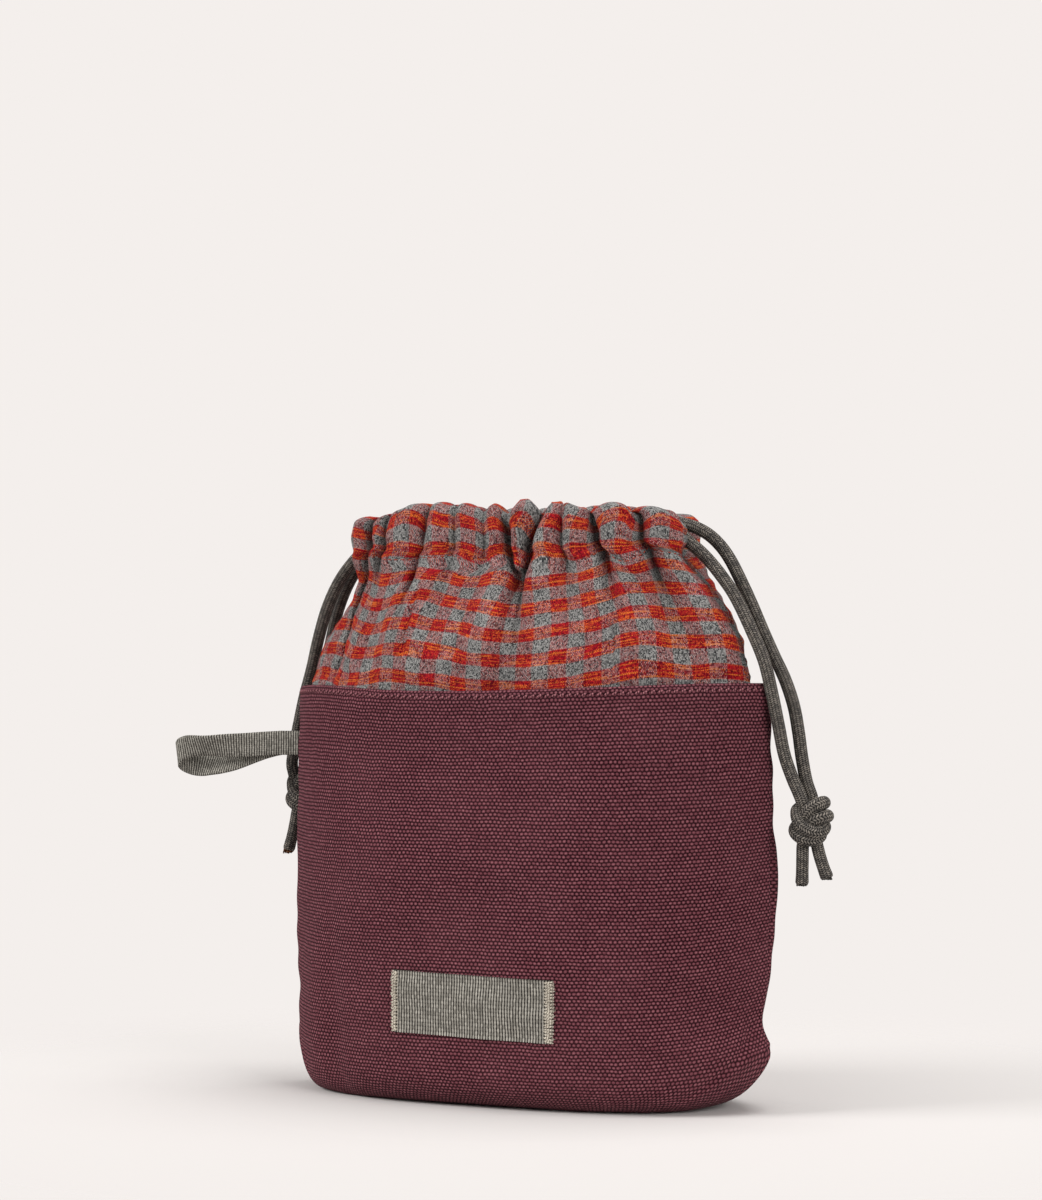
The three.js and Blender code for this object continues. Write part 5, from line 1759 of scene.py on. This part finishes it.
@dataclass
class SideLoop:
    """Loop of narrow ribbed tape that stands out of the left seam.

    Attributes:
        root_x, pivot_x: Where the canvas's seam line lies, and where the loop swings.
        length, half_gap: How far it stands out, and half of the widest gap between its legs.
    """

    finish: WebbingFinish
    root_x: float = -104.4
    pivot_x: float = -110.34
    height: float = 139.0
    width: float = 10.0
    thickness: float = 1.2
    length: float = 50.0
    half_gap: float = 4.3

    # Share of the tape's length, and mm that it hangs lower there
    DROPS = ((0.0, 0.07, 0.18, 0.28, 0.38, 0.43, 0.47, 0.5, 0.53, 0.57, 0.63, 0.7, 0.78, 0.86, 0.93, 1.0),
             (0.0, -0.4, -1.2, -1.4, -1.5, -2.2, -3.9, -6.4, -8.2, -9.4, -10.0, -9.2, -6.8, -4.0, -1.7, 0.0))
    # Lower face of the tape's section, as shares of half its width and half its thickness
    FACE = ((-1.0, -0.5), (-0.93, -1.0), (-0.5, -0.92), (0.0, -0.9), (0.5, -0.92), (0.93, -1.0), (1.0, -0.5))

    def tape(self, path: Array, shift: Array | float, lean: Array | float = 0.0) -> Skin:
        """A flat tape with rounded selvedges along a plan path.

        Args:
            path: Plan points of the tape's middle.
            shift: Height of the tape's middle at each of them.
            lean: Degrees that the tape's upper edge leans outward of the path.

        Returns:
            The tape's skin.
        """
        tangent = np.gradient(path, axis=0)
        tangent /= np.linalg.norm(tangent, axis=1, keepdims=True)
        normal = np.stack([tangent[:, 1], -tangent[:, 0]], axis=1)
        face = np.array(self.FACE)
        across, out = (np.vstack([face, -face]) * (self.width / 2.0, self.thickness / 2.0)).T
        count, sides = len(path), len(across)
        angle = np.radians(np.broadcast_to(lean, count))[:, None]
        away = out * np.cos(angle) + across * np.sin(angle)
        up = np.broadcast_to(shift, count)[:, None] + across * np.cos(angle) - out * np.sin(angle)
        points = np.dstack([path[:, None, :] + away[..., None] * normal[:, None, :], up])
        faces = grid_faces(count, sides, around=True)
        run = lengths_along(path)
        pair = np.stack([run[faces // sides], across[faces % sides]], axis=-1).reshape(-1, 2)
        cap_uv = [(run[0], place) for place in across[::-1]] + [(run[-1], place) for place in across]
        return points.reshape(-1, 3), faces.tolist() + end_caps(count, sides), np.vstack([pair, cap_uv])

    def build(self) -> list[Piece]:
        """Makes the moving loop and the stitched tab that stays in the seam."""
        material = self.finish.build()
        reach, gap = self.length, self.half_gap
        leg = [(0.0, 0.75), (8.0, 0.95), (16.0, 1.9), (26.0, 3.5), (36.0, gap), (42.0, gap * 0.98),
               (46.6, gap * 0.76), (reach - 1.4, gap * 0.4)]
        stops = [*leg, (reach - 0.7, 0.0), *[(x, -y) for x, y in reversed(leg)]]
        plan = at_shares(smooth_curve(stops, 400), np.linspace(0.0, 1.0, 190))
        share = lengths_along(plan) / lengths_along(plan)[-1]
        drop = softened(np.interp(share, *self.DROPS), 17)
        lean = -34.0 * (hump(share, 0.33, 0.11) + hump(share, 0.67, 0.11))
        skin = self.tape((self.pivot_x, 0.0) - plan, self.height + drop, lean)
        loop = dress(new_piece("side_loop_tape", skin, material), "side_loop", self.finish, "side_loop")
        ends = []
        for y in (-0.72, 0.72):
            line = np.column_stack([np.linspace(self.root_x + 4.4, self.pivot_x - 0.4, 8), np.full(8, y)])
            ends.append(self.tape(line, self.height))
        tab = new_piece("loop_tab_tape", joined(ends), material)
        return [loop, dress(tab, "bag", self.finish, "loop_tab")]


@dataclass
class Label:
    """Blank woven label, sewn to the front panel by overcast stitches over its two short ends."""

    finish: WebbingFinish
    thread: ThreadFinish
    tub: CanvasTub
    centre_x: float = 0.5
    centre_z: float = 39.6
    width: float = 68.0
    height: float = 24.0
    thickness: float = 0.8
    turn: float = -1.2

    def surface(self, u: Array | float, v: Array | float, stand_off: float) -> Array:
        """Points over the front panel.

        Args:
            u, v: Mm right and up from the label's middle, along its edges.
            stand_off: Mm out of the canvas.

        Returns:
            The points.
        """
        angle = math.radians(self.turn)
        x = self.centre_x + u * math.cos(angle) - v * math.sin(angle)
        z = self.centre_z + u * math.sin(angle) + v * math.cos(angle)
        half_width, half_depth, fullness, pinch = SIZES.section(z)
        y = -half_depth * (1.0 - np.clip(np.abs(x) / half_width, 0.0, 1.0) ** fullness) ** (1.0 / pinch)
        y = y - self.tub.settle(x, y, z) - stand_off
        return np.stack([x, y, z], axis=-1)

    def build(self) -> list[Piece]:
        """Makes the label, with its frayed ends and soft waves, and its end stitching."""
        columns, rows = 97, 37
        v = np.linspace(0.5, -0.5, rows) * self.height
        grid_u, grid_v = np.meshgrid(np.linspace(-0.5, 0.5, columns) * self.width, v)
        rng = np.random.default_rng(71)
        fray = np.interp(v, np.linspace(v[-1], v[0], 19), rng.normal(0.0, 0.35, 19))
        grid_u = grid_u + fray[:, None] * (np.abs(grid_u) > self.width / 2 - 0.6) * np.sign(grid_u)
        edge_lift = 0.25 * smooth((np.abs(grid_v) - self.height / 2 + 2.0) / 2.0)
        puff = 0.35 * ripple(grid_u, grid_v, 22.0, 73)
        top = self.surface(grid_u, grid_v, 0.0)
        top[..., 1] -= 0.75 + edge_lift + puff * (1.0 - smooth((np.abs(grid_u) - 27.0) / 6.0)) * 0.6
        points = top.reshape(-1, 3)
        faces = grid_faces(rows, columns)
        base = rows * columns
        index = np.arange(base).reshape(rows, columns)
        ring = np.concatenate([index[0], index[1:, -1], index[-1, -2::-1], index[-2:0:-1, 0]])
        after = np.roll(ring, -1)
        border = np.stack([after, ring, ring + base, after + base], axis=1)
        every = np.vstack([faces[:, ::-1], faces + base, border])
        pair = np.stack([grid_u, grid_v], axis=-1).reshape(-1, 2)
        uv = np.vstack([pair, pair])[every.ravel()]
        skin = (np.vstack([points, points + (0.0, self.thickness, 0.0)]), every, uv)
        label = dress(new_piece("label_tape", skin, self.finish.build()), "bag", self.finish, "label")
        material = self.thread.build()
        return [label, *[self.end_stitches(side, material) for side in (Side.LEFT, Side.RIGHT)]]

    def end_stitches(self, side: Side, material: bpy.types.Material) -> Piece:
        """A zigzag of cream thread over one short end, with a few loose fibres.

        Args:
            side: Which end of the label.
            material: The thread's.

        Returns:
            The stitches, as one piece.
        """
        left = side is Side.LEFT
        rng = np.random.default_rng(81 if left else 83)
        out = np.array([0.0, -1.0, 0.0])
        edge = self.width / 2.0
        turns = (side.value * (edge + 0.5), side.value * (edge - (2.2 if left else 3.2)))
        steps = np.linspace(self.height / 2.0 - 0.4, -self.height / 2.0 + 0.4, 39)
        parts = []
        for k, (high, low) in enumerate(zip(steps[:-1], steps[1:])):
            jitter = rng.normal(0.0, 0.12, 4)
            start = self.surface(turns[k % 2] + jitter[0], high + jitter[1], 0.95)
            end = self.surface(turns[(k + 1) % 2] + jitter[2], low + jitter[3], 0.95)
            parts.append(thread_stitch(start, end, out, 0.36, 0.55))
        for _ in range(26):
            v = rng.uniform(-0.5, 0.5) * self.height
            start = self.surface(side.value * (edge - 0.4), v, 0.7)
            end = self.surface(side.value * (edge + rng.uniform(0.5, 1.3)), v + rng.normal(0.0, 0.4), 0.5)
            parts.append(thread_stitch(start, end, out, 0.14, 0.3))
        piece = new_piece(f"label_end_stitches_{side.label}", joined(parts), material)
        return dress(piece, "bag", self.thread, f"label_stitch_{side.label}")


# Camera, floor and light

@dataclass
class Studio:
    """Pale sweep of floor, soft light and the photograph's camera; eye and distance in mm."""

    eye: float = 163.0
    distance: float = 1150.0
    focal_pixels: float = 2875.0
    horizon_row: float = 685.0
    image_height: int = 1200
    background: Colour = srgb(244, 239, 236)

    LIGHTS = (("left", (-1.6, -1.2, 1.15), 0.1, 0.9, 41.0), ("right", (1.7, -0.9, 0.8), 0.1, 1.0, 24.0),
              ("top", (0.35, 0.2, 1.7), 0.15, 1.0, 16.0))

    def camera(self) -> None:
        """A level-height camera in front of the bag, a little to its right."""
        data = bpy.data.cameras.new("camera")
        data.sensor_fit = "AUTO"
        data.sensor_width = 36.0
        data.lens = data.sensor_width * self.focal_pixels / self.image_height
        data.clip_start = 0.01
        data.clip_end = 50.0
        camera = bpy.data.objects.new("camera", data)
        angle, away = math.radians(VIEW_AZIMUTH), self.distance * MM
        camera.location = (away * math.sin(angle), -away * math.cos(angle), self.eye * MM)
        pitch = math.atan((self.horizon_row - self.image_height / 2.0) / self.focal_pixels)
        camera.rotation_euler = (math.pi / 2.0 + pitch, 0.0, angle)
        bpy.context.scene.collection.objects.link(camera)
        bpy.context.scene.camera = camera

    @staticmethod
    def area(name: str, place: tuple[float, float, float], aim: float, size: float, power: float) -> None:
        """One large soft light.

        Args:
            name: The light's name.
            place: Where it stands, in metres.
            aim: Height over the origin that it is turned to.
            size, power: Its width in metres, and its power in watts.
        """
        data = bpy.data.lights.new(name, "AREA")
        data.shape = "SQUARE"
        data.size = size
        data.energy = power
        light = bpy.data.objects.new(name, data)
        light.location = place
        direction = np.array((0.0, 0.0, aim)) - place
        direction = direction / np.linalg.norm(direction)
        light.rotation_euler = (math.acos(-direction[2]), 0.0, math.atan2(-direction[0], direction[1]))
        bpy.context.scene.collection.objects.link(light)

    def world(self) -> None:
        """Even pale surroundings, seen by the camera as the plain background."""
        world = bpy.data.worlds.new("studio")
        bpy.context.scene.world = world
        g = Graph.of(world)
        lit = g.fill(g.node("ShaderNodeBackground"), (1.0, 0.985, 0.97, 1.0), 0.4)
        seen = g.fill(g.node("ShaderNodeBackground"), self.background, 1.0)
        by_camera = g.node("ShaderNodeLightPath").outputs["Is Camera Ray"]
        mix = g.fill(g.node("ShaderNodeMixShader"), by_camera, lit.outputs[0], seen.outputs[0])
        g.fill(g.node("ShaderNodeOutputWorld"), mix.outputs[0])

    def floor(self) -> None:
        """A round floor that fades into the background away from the bag."""
        count, reach = 64, 1600.0
        k = np.arange(count)
        angle = 2.0 * math.pi * k / count
        ring = np.column_stack([reach * np.cos(angle), reach * np.sin(angle), np.zeros(count)])
        faces = np.column_stack([k, (k + 1) % count, np.full(count, count)])
        material = bpy.data.materials.new("pale floor")
        g = Graph.of(material)
        diffuse = g.node("ShaderNodeBsdfDiffuse")
        clear = g.node("ShaderNodeBsdfTransparent")
        place = g.node("ShaderNodeTexCoord").outputs["Object"]
        behind = g.fit(g.split(place)[1], -0.32, 0.12)
        g.put(diffuse.inputs[0], g.mix(behind, (0.62, 0.592, 0.576, 1.0), (0.7, 0.668, 0.65, 1.0)))
        fade = g.fit(g.vector("LENGTH", place).outputs["Value"], 0.12, 0.34, 1.0, 0.0)
        mix = g.fill(g.node("ShaderNodeMixShader"), fade, clear.outputs[0], diffuse.outputs[0])
        g.fill(g.node("ShaderNodeOutputMaterial"), mix.outputs[0])
        floor = new_piece("floor", (np.vstack([ring, np.zeros(3)]), faces, None), material)
        floor.location[2] = -0.4 * MM

    def build(self) -> None:
        """Sets the whole scene round the bag."""
        bpy.context.scene.view_settings.view_transform = "Standard"
        self.camera()
        self.world()
        self.floor()
        for light in self.LIGHTS:
            self.area(*light)


def main() -> None:
    """Builds the bag piece by piece."""
    logging.basicConfig(level=logging.INFO, format="%(name)s: %(message)s")
    Studio().build()
    make_weave_group()
    make_heather_group()
    make_rib_group()
    make_braid_group()
    braid = BraidFinish("drawcord_braid", "braid", roughness=0.75, specular=0.15)
    grey_cut = BraidFinish("cut_end_grey", "braid", roughness=0.8)
    warm_cut = BraidFinish("cut_end_warm", "braid", middle=srgb(150, 90, 52), light=srgb(196, 128, 78))
    Drawcord(Side.RIGHT, braid, grey_cut, (122.0, 0.0, 111.0), SIZES.upper_track).build()
    Drawcord(Side.LEFT, braid, warm_cut, (-112.0, 18.0, 119.0), SIZES.lower_track, knot_shift=2.4,
             knot_width=0.86, tail_start=(-2.0, 1.6), tail_lean=(-3.9, 3.0), tail_length=(20.4, 15.0),
             fray=1.6).build()
    canvas = CanvasFinish("burgundy_canvas", "canvas")
    hem_thread = ThreadFinish("hem_thread", "thread")
    tub = CanvasTub(canvas, hem_thread)
    tub.build()
    gingham = GinghamFinish("gingham_cloth", "gingham")
    Lining(gingham, tub).build()
    # The first colour given is this thread's painted shade between its plies.
    red_thread = ThreadFinish("casing_thread", "thread", gap_shade_and_wear=srgb(120, 38, 30), light=srgb(190, 78, 52))
    GatheredCollar(gingham, red_thread).build()
    webbing = WebbingFinish("loop_webbing", "webbing")
    SideLoop(webbing).build()
    woven = WebbingFinish("label_weave", "webbing", rib=1.15, warp=1.5)
    # The first colour given is this thread's painted shade between its plies.
    cream = ThreadFinish("label_thread", "thread", gap_shade_and_wear=srgb(120, 110, 98), light=srgb(214, 206, 190))
    Label(woven, cream, tub).build()


if __name__ == "__main__":
    main()
